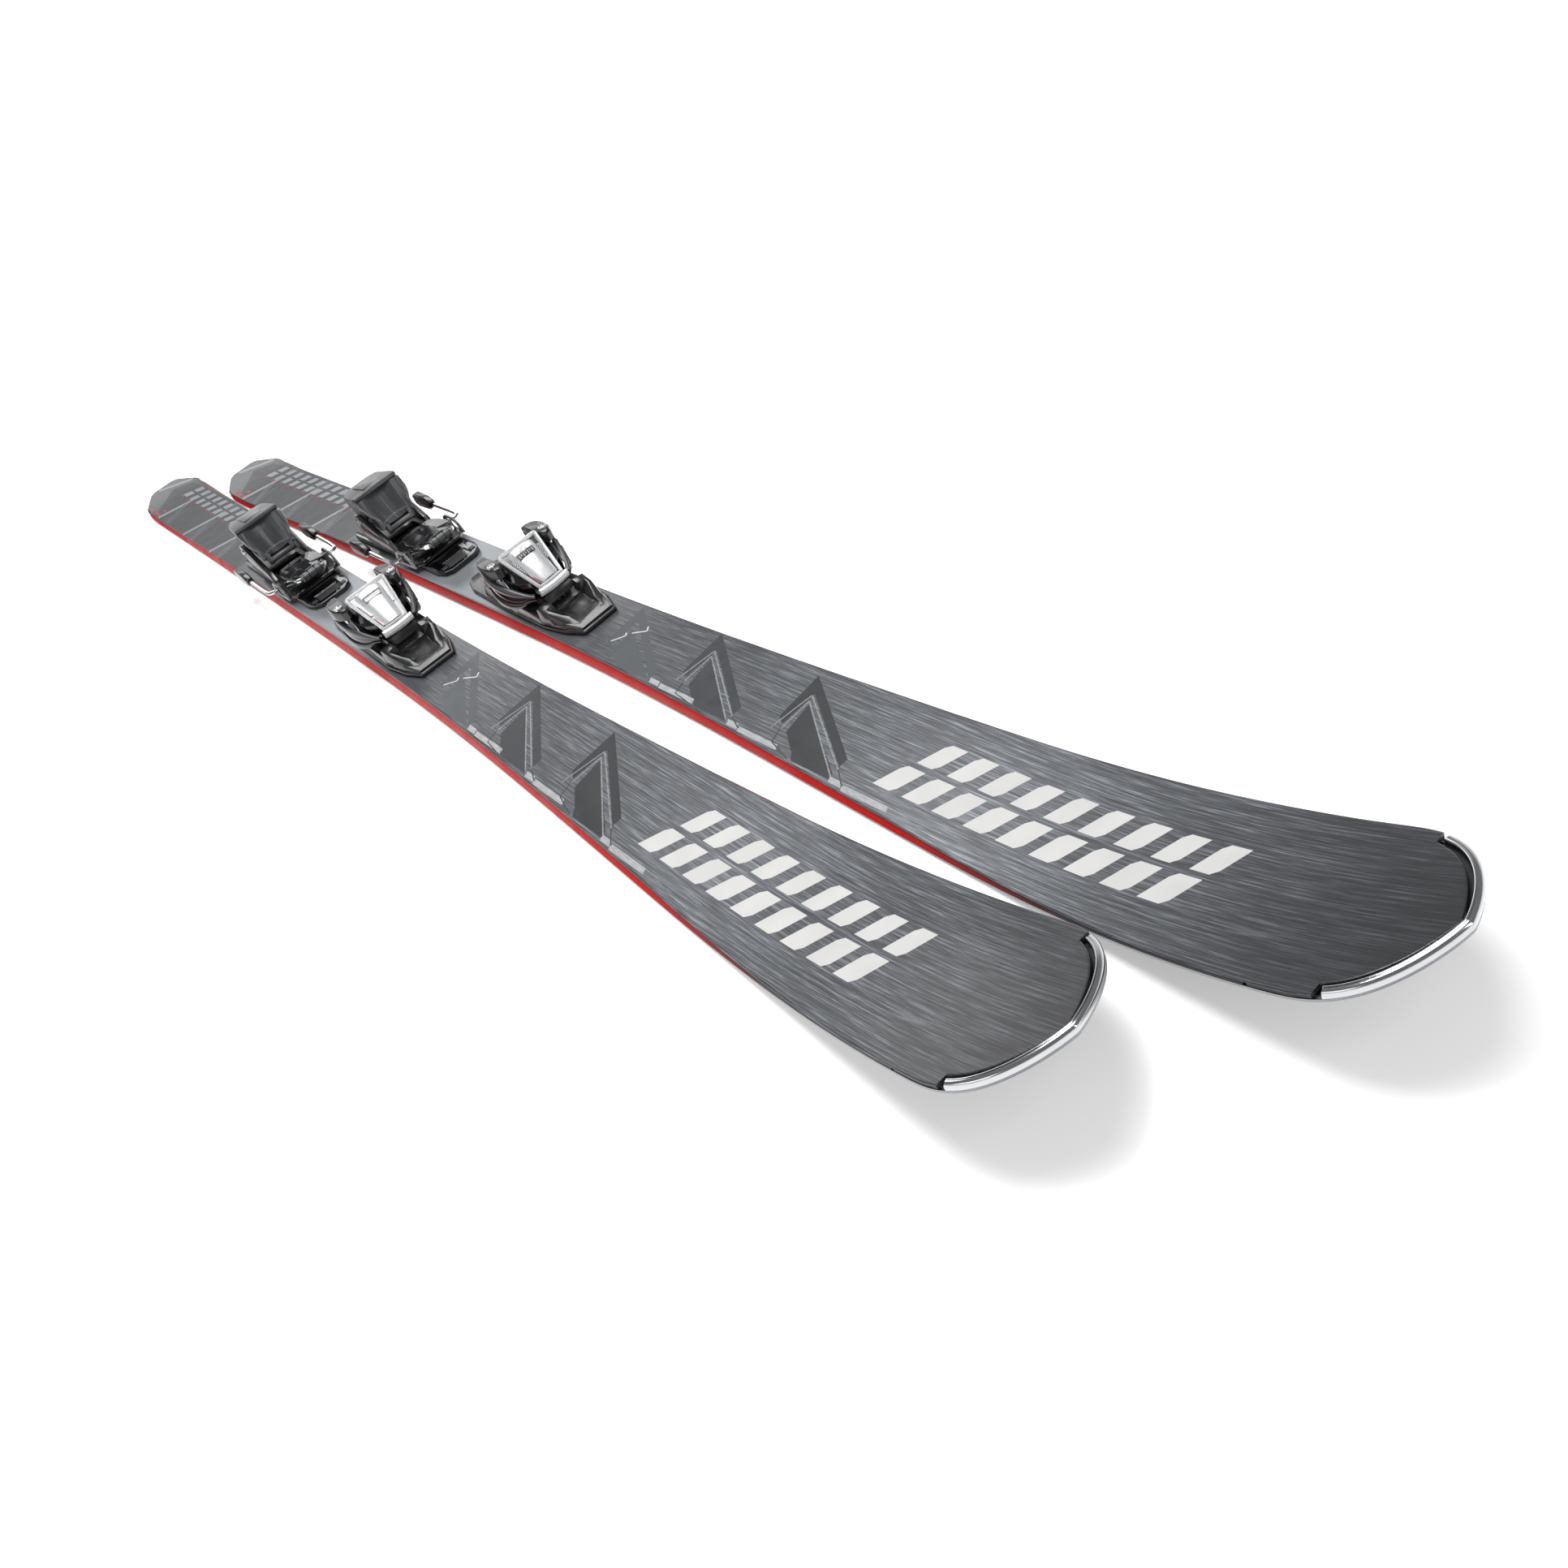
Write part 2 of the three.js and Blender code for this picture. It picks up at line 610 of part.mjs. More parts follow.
function heelPieces() {
  return [
    ['heel_track', 'black', heelTrack()],
    ['heel_carriage', 'black', heelCarriage()],
    ['heel_cup', 'charcoal', heelCup()],
    ['heel_lever', 'charcoal', heelLever()],
    ['heel_pin', 'steel', heelPin()],
    ['heel_spring', 'steel', spring(447, 474, 5.1, 1, 5, HEEL.boreZ)],
    ['heel_screw', 'steel', slottedScrew(444.5, 437.5, 6.5, HEEL.boreZ)],
    ['brake_pedal', 'black', brakePedal()],
    ['brake_wire', 'chrome', brakeWire()],
    ['brake_foot_left', 'black', brakeFoot(1)],
    ['brake_foot_right', 'black', brakeFoot(-1)],
  ];
}

// ---------------------------------------------------------------- assembly

const flatPieces = [...skiPieces(), ...toePieces(), ...heelPieces()];
const slopedPieces = [['toe_cover', 'silver', toeCover()], ['toe_bezel', 'clear', toeBezel()]];

function addPieces(group, prefix, pieces) {
  for (const [name, slot, geometry] of pieces) {
    const mesh = new THREE.Mesh(geometry, MATERIALS[slot]);
    mesh.name = `${prefix}_${name}`;
    group.add(mesh);
  }
}

function buildSki(prefix) {
  const ski = new THREE.Group();
  addPieces(ski, prefix, flatPieces);
  const slope = new THREE.Group();
  slope.position.set(775.5, 0, TOE.top);
  slope.rotation.y = SLOPE;
  addPieces(slope, prefix, slopedPieces);
  ski.add(slope);
  return ski;
}

const skis = new THREE.Group();
const right = buildSki('right');
const left = buildSki('left');
left.position.set(PAIR.leftX, PAIR.leftY, 0);
left.rotation.z = PAIR.leftYaw;
skis.add(right, left);

// The origin is at the middle of the pair's footprint, at floor level.
skis.updateMatrixWorld(true);
const middle = new THREE.Box3().setFromObject(skis, true).getCenter(new THREE.Vector3());
skis.position.set(-middle.x, -middle.y, 0);

export default skis;
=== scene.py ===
"""A pair of alpine skis with step-in bindings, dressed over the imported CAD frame.

Every new piece is drawn in its own ski's frame, in millimetres: x from the tail end, y from the
centreline (+ is the ski's left), z from the running base. PLACES puts that frame in the row frame.
"""

import math

import bmesh
import bpy
from mathutils import Matrix, Vector
from mathutils.geometry import tessellate_polygon


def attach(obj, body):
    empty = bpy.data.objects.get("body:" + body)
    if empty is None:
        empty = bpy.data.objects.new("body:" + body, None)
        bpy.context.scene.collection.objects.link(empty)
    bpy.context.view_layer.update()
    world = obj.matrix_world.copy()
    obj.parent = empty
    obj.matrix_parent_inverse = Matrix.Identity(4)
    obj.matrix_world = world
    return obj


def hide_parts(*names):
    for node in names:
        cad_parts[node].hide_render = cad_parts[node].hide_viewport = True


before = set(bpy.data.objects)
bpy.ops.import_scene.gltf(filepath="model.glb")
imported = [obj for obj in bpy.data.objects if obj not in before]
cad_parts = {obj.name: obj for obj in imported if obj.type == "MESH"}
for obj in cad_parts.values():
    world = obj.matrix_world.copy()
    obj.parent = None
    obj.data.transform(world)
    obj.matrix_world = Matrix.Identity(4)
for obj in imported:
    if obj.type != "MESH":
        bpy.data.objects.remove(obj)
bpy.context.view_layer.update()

# ---------------------------------------------------- named dimensions

MM = 0.001
SIDES = ("right", "left")
LEFT_YAW = math.radians(2.4)

# Where each ski's tail end lies in the row frame, in metres, and its turn about the vertical.
PLACES = {
    "right": ((-0.89941, -0.07463, 0.0), 0.0),
    "left": ((-0.77941, 0.00737, 0.0), LEFT_YAW),
}

LENGTH = 1680.0
WAIST_X, WAIST_HALF = 740.0, 37.5
TAIL_HALF, TIP_HALF = 42.5, 63.5
TIP_WIDEST_X, TIP_START_X = 1590.0, 1600.0
TAIL_CORNER = ((0, 15), (3, 21), (30, 39.4), (45, 41.9), (70, TAIL_HALF))
TAIL_THICK, WAIST_THICK, TIP_THICK = 7.0, 14.0, 6.5
TAIL_RISE, TAIL_RISE_X = 8.0, 110.0
TIP_RISE, TIP_RISE_X = 66.0, 1320.0
SHEET_THICK = 1.2
SHEET_ROUND = 2.2
EDGE_THICK, EDGE_WIDTH = 2.0, 2.2
LOW_POINT = 2.5              # points lower than this follow the base right under them
GAP = 0.3
RAIL_WIDTH = 6.0
RAIL_FROM, RAIL_TO = 40.0, 1588.0
RAIL_LEAN = 3.0
GUARD_START, GUARD_STEP, GUARD_CLEAR, GUARD_WIDTH = 1634.0, 1629.0, 5.8, 5.0
PRINT_LIFT = 0.05            # how far each printed layer stands over the one below

# The view from beyond the tips, at the right ski's side, with the horizon rolled.
CAMERA_AT = (1.1804, -0.3233, 0.6624)
CAMERA_AZIMUTH = math.radians(67.38)
CAMERA_ELEVATION = math.radians(38.31)
CAMERA_ROLL = math.radians(-26.83)
CAMERA_LENS = 33.49

# ---------------------------------------------------- the ski's own shape


def smoothstep(low, high, x):
    """0 below low and 1 above high, with a smooth rise between."""
    t = min(1.0, max(0.0, (x - low) / (high - low)))
    return t * t * (3 - 2 * t)


def half_width(x):
    """Half the ski's width at x."""
    if x <= TAIL_CORNER[-1][0]:
        for (x0, y0), (x1, y1) in zip(TAIL_CORNER, TAIL_CORNER[1:]):
            if x <= x1:
                return y0 + (y1 - y0) * (x - x0) / (x1 - x0)
    if x <= WAIST_X:
        u = (WAIST_X - x) / (WAIST_X - 70)
        return WAIST_HALF + (TAIL_HALF - WAIST_HALF) * u**1.9
    if x <= TIP_START_X:
        u = min(1.0, (x - WAIST_X) / (TIP_WIDEST_X - WAIST_X))
        return WAIST_HALF + (TIP_HALF - WAIST_HALF) * math.sin(math.pi / 2 * u) ** 2.6
    t = (x - TIP_START_X) / (LENGTH - TIP_START_X)
    return max(1.0, TIP_HALF * max(0.0, 1 - t**3) ** 0.75)


def base_height(x):
    """Height of the running base at x: the tail lifts a little and the tip curves up."""
    if x < TAIL_RISE_X:
        return TAIL_RISE * (1 - x / TAIL_RISE_X) ** 2
    return TIP_RISE * max(0.0, (x - TIP_RISE_X) / (LENGTH - TIP_RISE_X)) ** 2.4


def thickness(x):
    """The ski's thickness: thickest under the binding, thinner towards both ends."""
    rise = (WAIST_THICK - TAIL_THICK) * smoothstep(0, 400, x)
    return TAIL_THICK + rise - (WAIST_THICK - TIP_THICK) * smoothstep(890, 1480, x)


def top_height(x):
    """Height of the sheet's upper face at x."""
    return base_height(x) + thickness(x)


def rail_lean(x):
    """How far the sidewall leans in at its top; it fades out towards both ends."""
    return RAIL_LEAN * smoothstep(10, 60, x) * (1 - smoothstep(1250, 1560, x))


def sheet_half(x):
    """Half width of the topsheet: inside the leaning sidewalls, and clear of the tip guard."""
    if x >= GUARD_STEP:
        return max(7.0, half_width(x + GUARD_CLEAR)) - GUARD_CLEAR
    return half_width(x) - rail_lean(x)


def stations(start, end, step=9.0):
    """Stations from start to end, closer together where the outline turns quickly."""
    found, x = [], start
    while x < end - 0.5:
        found.append(x)
        near_end = min(x, LENGTH - x)
        x += step if near_end > 90 else max(1.2, step * near_end / 90)
    return [*found, end]


# ---------------------------------------------------- making pieces


def soften(mesh, sharp_deg=35):
    """Merges and faces a mesh outwards, and shades it smooth except across sharp edges."""
    bm = bmesh.new()
    bm.from_mesh(mesh)
    bmesh.ops.remove_doubles(bm, verts=bm.verts, dist=1e-6)
    bmesh.ops.recalc_face_normals(bm, faces=bm.faces)
    for face in bm.faces:
        face.smooth = True
    for edge in bm.edges:
        edge.smooth = len(edge.link_faces) != 2 or edge.calc_face_angle(0) < math.radians(sharp_deg)
    bm.to_mesh(mesh)
    bm.free()


def add_piece(side, name, points, faces, finish, slot, body, replaces=(), sharp_deg=35):
    """A piece of one ski from points in millimetres, with a named finish, riding on one of its bodies."""
    origin, yaw = PLACES[side]
    turn = Matrix.Rotation(yaw, 3, "Z")
    mesh = bpy.data.meshes.new(f"{side}_{name}")
    mesh.from_pydata([turn @ Vector(point) * MM for point in points], [], faces)
    soften(mesh, sharp_deg)
    mesh.materials.append(FINISHES[side][finish])
    piece = bpy.data.objects.new(f"{side}_{name}", mesh)
    bpy.context.scene.collection.objects.link(piece)
    piece.matrix_world = Matrix.Translation(origin)
    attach(piece, f"{side}_{body}")
    if replaces:
        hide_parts(*[f"{side}_{node}" for node in replaces])
    return piece


def round_edges(piece, width=0.5, segments=2, angle_deg=28):
    """Rounds a piece's edges; its own mesh stays as it is."""
    weld = piece.modifiers.new("weld", "WELD")
    weld.merge_threshold = 1e-6
    bevel = piece.modifiers.new("rounding", "BEVEL")
    bevel.width = width * MM
    bevel.segments = segments
    bevel.limit_method = "ANGLE"
    bevel.angle_limit = math.radians(angle_deg)
    bevel.harden_normals = True
    bevel.use_clamp_overlap = True
    return piece


def loft(rings, joined=False):
    """Points and faces of a body through rings with the same number of points each."""
    count = len(rings[0])
    points = [point for ring in rings for point in ring]
    faces = []
    spans = len(rings) if joined else len(rings) - 1
    for i in range(spans):
        near, far = i * count, (i + 1) % len(rings) * count
        for k in range(count):
            nxt = (k + 1) % count
            faces.append((near + k, far + k, far + nxt, near + nxt))
    if not joined:
        last = (len(rings) - 1) * count
        faces.append(tuple(range(count)))
        faces.append(tuple(last + k for k in reversed(range(count))))
    return points, faces


def prism(outline, z0, z1):
    """Points and faces of a plan outline raised from z0 to z1."""
    return loft([[(x, y, z0) for x, y in outline], [(x, y, z1) for x, y in outline]])


def merge(*bodies):
    """Several bodies as one list of points and faces."""
    points, faces = [], []
    for body_points, body_faces in bodies:
        start = len(points)
        points.extend(body_points)
        faces.extend(tuple(start + i for i in face) for face in body_faces)
    return points, faces


# ---------------------------------------------------- materials


class Finish:
    """A material of one ski on one Principled shader; its texture space runs along that ski."""

    def __init__(self, side, name, **sockets):
        self.material = bpy.data.materials.new(f"{side}_{name}")
        self.material.use_nodes = True
        self.tree = self.material.node_tree
        self.shader = self.tree.nodes["Principled BSDF"]
        for socket, value in sockets.items():
            self.shader.inputs[socket.replace("_", " ")].default_value = value
        found = self.tree.nodes.new("ShaderNodeTexCoord").outputs["Object"]
        turn = (0.0, 0.0, -PLACES[side][1])
        self.place = self.node("ShaderNodeMapping", {"Vector": found, "Rotation": turn}).outputs[0]

    def node(self, kind, inputs=None, **settings):
        """A node with its settings, and inputs given as values or as another node's output."""
        made = self.tree.nodes.new(kind)
        for key, value in settings.items():
            setattr(made, key, value)
        for key, value in (inputs or {}).items():
            if isinstance(value, bpy.types.NodeSocket):
                self.tree.links.new(value, made.inputs[key])
            else:
                made.inputs[key].default_value = value
        return made

    def stretched(self, scale):
        """The texture space scaled along x, y and z."""
        return self.node("ShaderNodeMapping", {"Vector": self.place, "Scale": scale}).outputs[0]

    def noise(self, scale, detail=3.0, roughness=0.55, stretch=None):
        """Soft noise, stretched into streaks where stretch is given."""
        where = self.stretched(stretch) if stretch else self.place
        inputs = {"Vector": where, "Scale": scale, "Detail": detail, "Roughness": roughness}
        return self.node("ShaderNodeTexNoise", inputs).outputs["Fac"]

    def ramp(self, factor, *stops):
        """A colour ramp from (position, grey or colour) pairs."""
        made = self.node("ShaderNodeValToRGB", {"Fac": factor})
        elements = made.color_ramp.elements
        while len(elements) < len(stops):
            elements.new(0.5)
        for element, (at, value) in zip(elements, stops):
            element.position = at
            level = (value,) * 3 if isinstance(value, (int, float)) else value
            element.color = (*level, 1.0)
        return made.outputs["Color"]

    def math(self, operation, a, b=0.0, clamp=False):
        made = self.node("ShaderNodeMath", {0: a, 1: b}, operation=operation, use_clamp=clamp)
        return made.outputs[0]

    def mix(self, factor, a, b, blend="MIX"):
        made = self.node("ShaderNodeMix", {"Factor": factor}, data_type="RGBA", blend_type=blend)
        for socket, value in ((made.inputs[6], a), (made.inputs[7], b)):
            if isinstance(value, bpy.types.NodeSocket):
                self.tree.links.new(value, socket)
            else:
                socket.default_value = (*value, 1.0)
        return made.outputs[2]

    def along(self):
        """The distance along the ski."""
        return self.node("ShaderNodeSeparateXYZ", {"Vector": self.place}).outputs["X"]

    def fit(self, value, low, high, to_low=0.0, to_high=1.0):
        """A value mapped from one range to another, and held at its ends."""
        inputs = {0: value, 1: low, 2: high, 3: to_low, 4: to_high}
        return self.node("ShaderNodeMapRange", inputs, clamp=True).outputs[0]

    def put(self, socket, value):
        self.tree.links.new(value, self.shader.inputs[socket])

    def bump(self, height, strength=0.2, distance_mm=0.1):
        inputs = {"Height": height, "Strength": strength, "Distance": distance_mm * MM}
        self.put("Normal", self.node("ShaderNodeBump", inputs).outputs["Normal"])

    def worn(self, low, high, scale=60.0):
        """Roughness that varies softly between two values, with fine scuffs."""
        cloud = self.noise(scale, 4.0)
        self.put("Roughness", self.fit(cloud, 0.3, 0.7, low, high))


def brushed_sheet(side):
    """The printed topsheet: brushed lengthwise grain over the print's tones, with painted reflection lightening
    it by the binding and painted shade darkening it at the tip.
    """
    sheet = Finish(side, "brushed_sheet", Metallic=0.25, Coat_Weight=0.25, Coat_Roughness=0.16)
    x = sheet.fit(sheet.along(), 0.0, LENGTH * MM)
    # Tones along the ski are the print's own with painted light in them: the light stretch at 0.36 to 0.42 is a
    # painted reflection, and the fall past 0.91 towards the tip is painted shade.
    base = sheet.ramp(
        x,
        (0.0, (0.052, 0.056, 0.063)),
        (0.10, (0.042, 0.045, 0.052)),
        (0.27, (0.052, 0.057, 0.064)),
        (0.36, (0.22, 0.237, 0.255)),
        (0.42, (0.17, 0.183, 0.197)),
        (0.52, (0.06, 0.064, 0.071)),
        (0.64, (0.064, 0.069, 0.077)),
        (0.80, (0.098, 0.105, 0.116)),
        (0.91, (0.068, 0.073, 0.081)),
        (0.965, (0.03, 0.032, 0.037)),
        (1.0, (0.012, 0.013, 0.016)),
    )
    fine = sheet.noise(1.0, 4.0, 0.65, stretch=(34, 1300, 1))
    long = sheet.noise(1.0, 3.0, 0.6, stretch=(13, 520, 1))
    streaks = sheet.math("ADD", sheet.math("MULTIPLY", fine, 0.6), sheet.math("MULTIPLY", long, 0.4))
    light = sheet.ramp(streaks, (0.37, 0.35), (0.47, 0.75), (0.54, 1.5), (0.63, 3.6))
    brushed = sheet.fit(sheet.along(), 0.84, 0.93)
    strength = sheet.mix(brushed, (1.0, 1.0, 1.0), light)
    sheet.put("Base Color", sheet.mix(1.0, base, strength, "MULTIPLY"))
    sheet.put("Roughness", sheet.fit(streaks, 0.35, 0.65, 0.42, 0.27))
    sheet.bump(streaks, 0.25, 0.05)
    return sheet.material


def print_ink(side, name, colour, weave=0.0, rough=0.36, streak=0.0):
    """A printed colour under the clear coat; weave adds fine diagonal dots, streak a dashed grain."""
    ink = Finish(side, name, Coat_Weight=0.12, Coat_Roughness=0.14, Specular_IOR_Level=0.35)
    cloud = ink.noise(22.0, 3.0)
    dark = tuple(0.86 * c for c in colour)
    tone = ink.mix(cloud, dark, tuple(1.12 * c for c in colour))
    if weave:
        dots = ink.node("ShaderNodeTexVoronoi", {"Vector": ink.stretched((1, 1.35, 1)), "Scale": 620.0})
        spots = ink.ramp(dots.outputs["Distance"], (0.28, 1 + weave), (0.5, 1.0))
        tone = ink.mix(1.0, tone, spots, "MULTIPLY")
        ink.bump(dots.outputs["Distance"], 0.15, 0.05)
    if streak:
        grain = ink.noise(1.0, 3.0, 0.7, stretch=(120, 1500, 1))
        tone = ink.mix(1.0, tone, ink.ramp(grain, (0.4, 1 - streak), (0.58, 1.0)), "MULTIPLY")
    ink.put("Base Color", tone)
    ink.worn(rough - 0.05, rough + 0.08)
    return ink.material


def red_wall(side):
    """Red sidewall plastic with lengthwise planing lines, dark where it thins at the tip."""
    wall = Finish(side, "red_wall", Specular_IOR_Level=0.12)
    cloud = wall.noise(30.0, 4.0)
    red = wall.mix(cloud, (0.42, 0.010, 0.008), (0.52, 0.016, 0.012))
    fade = wall.fit(wall.along(), 1.30, 1.46)
    wall.put("Base Color", wall.mix(fade, red, (0.05, 0.045, 0.047)))
    lines = wall.noise(1.0, 2.0, 0.6, stretch=(6, 40, 2200))
    wall.bump(lines, 0.2, 0.06)
    wall.worn(0.42, 0.58)
    return wall.material


def metal(side, name, colour, rough, grain=(900, 60, 60), grain_depth=0.12, spread=0.1):
    """A bare metal with fine polishing lines and slight tarnish."""
    made = Finish(side, name, Metallic=1.0)
    cloud = made.noise(45.0, 4.0)
    made.put("Base Color", made.mix(cloud, tuple(0.82 * c for c in colour), colour))
    lines = made.noise(1.0, 3.0, 0.6, stretch=grain)
    made.put("Roughness", made.fit(lines, 0.3, 0.7, rough, rough + spread))
    made.bump(lines, grain_depth, 0.03)
    return made.material


def silver_paint(side):
    """The cover's satin silver: fine flake over a soft random cloud of lighter and darker tone."""
    paint = Finish(side, "satin_silver", Metallic=0.55, Coat_Weight=0.5, Coat_Roughness=0.08)
    flake = paint.noise(1800.0, 2.0)
    cloud = paint.noise(55.0, 3.0)
    tone = paint.mix(cloud, (0.62, 0.63, 0.645), (0.8, 0.81, 0.82))
    paint.put("Base Color", paint.mix(1.0, tone, paint.ramp(flake, (0.35, 0.96), (0.6, 1.02)), "MULTIPLY"))
    paint.put("Roughness", paint.fit(flake, 0.3, 0.7, 0.26, 0.36))
    paint.bump(flake, 0.03, 0.01)
    return paint.material


def moulded(side, name, colour, rough, coat=0.0, grain=1400.0, depth=0.12, edge=1.6):
    """Moulded plastic: fine grain, cloudy gloss, and a painted highlight that makes its sharp edges a little
    lighter.
    """
    made = Finish(side, name, Coat_Weight=coat, Coat_Roughness=0.08)
    cloud = made.noise(70.0, 4.0)
    tone = made.mix(cloud, tuple(0.8 * c for c in colour), tuple(1.2 * c for c in colour))
    # Painted highlight: sharp edges, found by pointiness, are coloured lighter as if they caught the light.
    pointiness = made.node("ShaderNodeNewGeometry").outputs["Pointiness"]
    edge_highlight = made.fit(pointiness, 0.54, 0.68)
    made.put("Base Color", made.mix(edge_highlight, tone, tuple(edge * c + 0.004 for c in colour)))
    made.put("Roughness", made.fit(cloud, 0.3, 0.7, rough - 0.05, rough + 0.07))
    made.bump(made.noise(grain, 2.0), depth, 0.04)
    return made.material


def clear_plastic(side):
    """Clear glossy plastic with the faintest smoke tint and hairline scratches, only partly see-through, so its
    near-white colour paints a pale sheen on it that stands for highlights.
    """
    made = Finish(side, "clear_plastic", Transmission_Weight=0.55, IOR=1.49, Coat_Weight=1.0)
    cloud = made.noise(90.0, 4.0)
    # Near-white colour on a half-clear plastic: a painted pale sheen that stands for the frame's bright
    # highlights.
    made.put("Base Color", made.mix(cloud, (0.86, 0.88, 0.9), (0.97, 0.98, 0.99)))
    scratches = made.noise(1.0, 2.0, 0.6, stretch=(300, 4000, 300))
    made.put("Roughness", made.fit(scratches, 0.45, 0.75, 0.03, 0.12))
    made.bump(scratches, 0.05, 0.02)
    return made.material


def window_plastic(side):
    """The clear block over the setting scale, drawn as opaque pale grey: painted light that stands for its
    brightly lit look.
    """
    made = Finish(side, "window_plastic", Coat_Weight=1.0, Coat_Roughness=0.03)
    cloud = made.noise(240.0, 3.0)
    # The pale grey base colour is painted light, not the clear block's own colour.
    made.put("Base Color", made.ramp(cloud, (0.38, (0.42, 0.43, 0.44)), (0.5, (0.8, 0.81, 0.82))))
    made.worn(0.08, 0.2, 200.0)
    made.bump(made.noise(500.0, 2.0), 0.2, 0.1)
    return made.material


def checker_strip(side, name="checker_strip", light=(0.5, 0.51, 0.52, 1), scale=560.0):
    """Fine grey and black checks under a clear coat."""
    made = Finish(side, name, Coat_Weight=0.6, Coat_Roughness=0.05)
    where = made.stretched((1.0, 1.0, 1.28))
    inputs = {"Vector": where, "Color1": light, "Color2": (0.02, 0.02, 0.022, 1), "Scale": scale}
    checks = made.node("ShaderNodeTexChecker", inputs).outputs["Color"]
    made.put("Base Color", made.mix(made.noise(300.0, 3.0), checks, (0.2, 0.2, 0.21), "OVERLAY"))
    made.worn(0.16, 0.3)
    return made.material


def wood(side):
    """The laminated wood core, dark filler plastic towards the tip and at the right ski's tail.

    The left ski's tail end stays bare wood.
    """
    made = Finish(side, "wood_core", Roughness=0.7)
    rings = made.noise(1.0, 5.0, 0.6, stretch=(9, 260, 260))
    grain = made.ramp(rings, (0.35, (0.30, 0.17, 0.08)), (0.65, (0.56, 0.38, 0.2)))
    x = made.along()
    ends = made.math("ADD", made.fit(x, -0.84, -0.85), made.fit(x, 0.68, 0.69), clamp=True)
    made.put("Base Color", made.mix(ends, grain, (0.03, 0.031, 0.033)))
    made.bump(rings, 0.2, 0.1)
    return made.material


def floor_finish(side):
    """The pale matt floor."""
    made = Finish(side, "pale_floor", Roughness=0.9)
    made.put("Base Color", made.mix(made.noise(3.0, 2.0), (0.93, 0.93, 0.93), (0.95, 0.95, 0.95)))
    made.shader.inputs["Specular IOR Level"].default_value = 0.1
    made.shader.inputs["Emission Color"].default_value = (1.0, 1.0, 1.0, 1.0)
    made.shader.inputs["Emission Strength"].default_value = 0.38
    return made.material


def finishes(side):
    """Every finish of one ski, by its short name."""
    return {
        "sheet": brushed_sheet(side),
        "wall": red_wall(side),
        "base": print_ink(side, "running_base", (0.012, 0.012, 0.014), rough=0.5),
        "edge": metal(side, "edge_steel", (0.33, 0.34, 0.36), 0.3, grain=(40, 700, 900)),
        "chrome": metal(side, "polished_chrome", (0.62, 0.63, 0.645), 0.1, grain_depth=0.03, spread=0.06),
        "steel": metal(side, "spring_steel", (0.6, 0.61, 0.63), 0.2),
        "black": moulded(side, "binding_black", (0.006, 0.0065, 0.0075), 0.28, coat=0.3),
        "satin": moulded(side, "binding_satin", (0.034, 0.036, 0.04), 0.32, coat=0.2),
        "charcoal": moulded(side, "binding_charcoal", (0.016, 0.017, 0.019), 0.38),
        "cup": moulded(side, "heel_cup_satin", (0.026, 0.027, 0.03), 0.3, coat=0.25),
        "rim": moulded(side, "heel_rim_grey", (0.1, 0.104, 0.11), 0.3, coat=0.3),
        "gloss": moulded(side, "gloss_black", (0.003, 0.003, 0.004), 0.12, coat=0.6, depth=0.03),
        "silver": silver_paint(side),
        "clear": clear_plastic(side),
        "wood": wood(side),
        "window": window_plastic(side),
        "checker": checker_strip(side),
        "fine_checks": checker_strip(side, "fine_checks", (0.16, 0.165, 0.17, 1), 900.0),
        "red_trim": moulded(side, "red_trim", (0.09, 0.006, 0.006), 0.25, coat=0.5),
        "panel": print_ink(side, "panel_ink", (0.024, 0.0265, 0.031), weave=0.3),
        "panel_dark": print_ink(side, "panel_ink_dark", (0.015, 0.0165, 0.0195), weave=0.3),
        "panel_pale": print_ink(side, "panel_ink_pale", (0.06, 0.066, 0.074), weave=0.12),
        "tail_panel": print_ink(side, "tail_ink", (0.034, 0.037, 0.042)),
        "line_dark": print_ink(side, "line_ink_dark", (0.03, 0.032, 0.036)),
        "line_pale": print_ink(side, "line_ink_pale", (0.3, 0.32, 0.33), streak=0.65),
        "stripe_pale": print_ink(side, "stripe_ink_pale", (0.27, 0.29, 0.31)),
        "patch": print_ink(side, "patch_ink", (0.42, 0.43, 0.44), streak=0.35),
        "white": print_ink(side, "white_ink", (0.6, 0.597, 0.585), rough=0.45),
        "red_ink": print_ink(side, "red_ink", (0.42, 0.03, 0.025)),
    }


FINISHES = {side: finishes(side) for side in SIDES}

# ---------------------------------------------------- the ski


def topsheet(side):
    """The printed sheet with a rounded shoulder, stepped in where the tip guard wraps it."""
    xs = stations(0, GUARD_STEP - GAP) + stations(GUARD_STEP, LENGTH - GUARD_CLEAR)
    rings = []
    for x in xs:
        reach, low, high = sheet_half(x), top_height(x) - SHEET_THICK, top_height(x)
        rim = min(SHEET_ROUND, reach / 2)
        ring = [(x, -reach, low), (x, reach, low)]
        for step in range(6):
            turn = math.pi / 2 * step / 5
            drop = (SHEET_THICK - 0.5) * (1 - math.sin(turn))
            ring.append((x, reach - rim * (1 - math.cos(turn)), high - drop))
        flat = reach - rim
        ring.extend((x, flat * (1 - k / 4), high) for k in range(1, 8))
        ring.extend((x, -y, z) for _, y, z in reversed(ring[2:8]))
        rings.append(ring)
    points, faces = loft(rings)
    return add_piece(side, "printed_sheet", points, faces, "sheet", "topsheet", "ski", ["topsheet"])


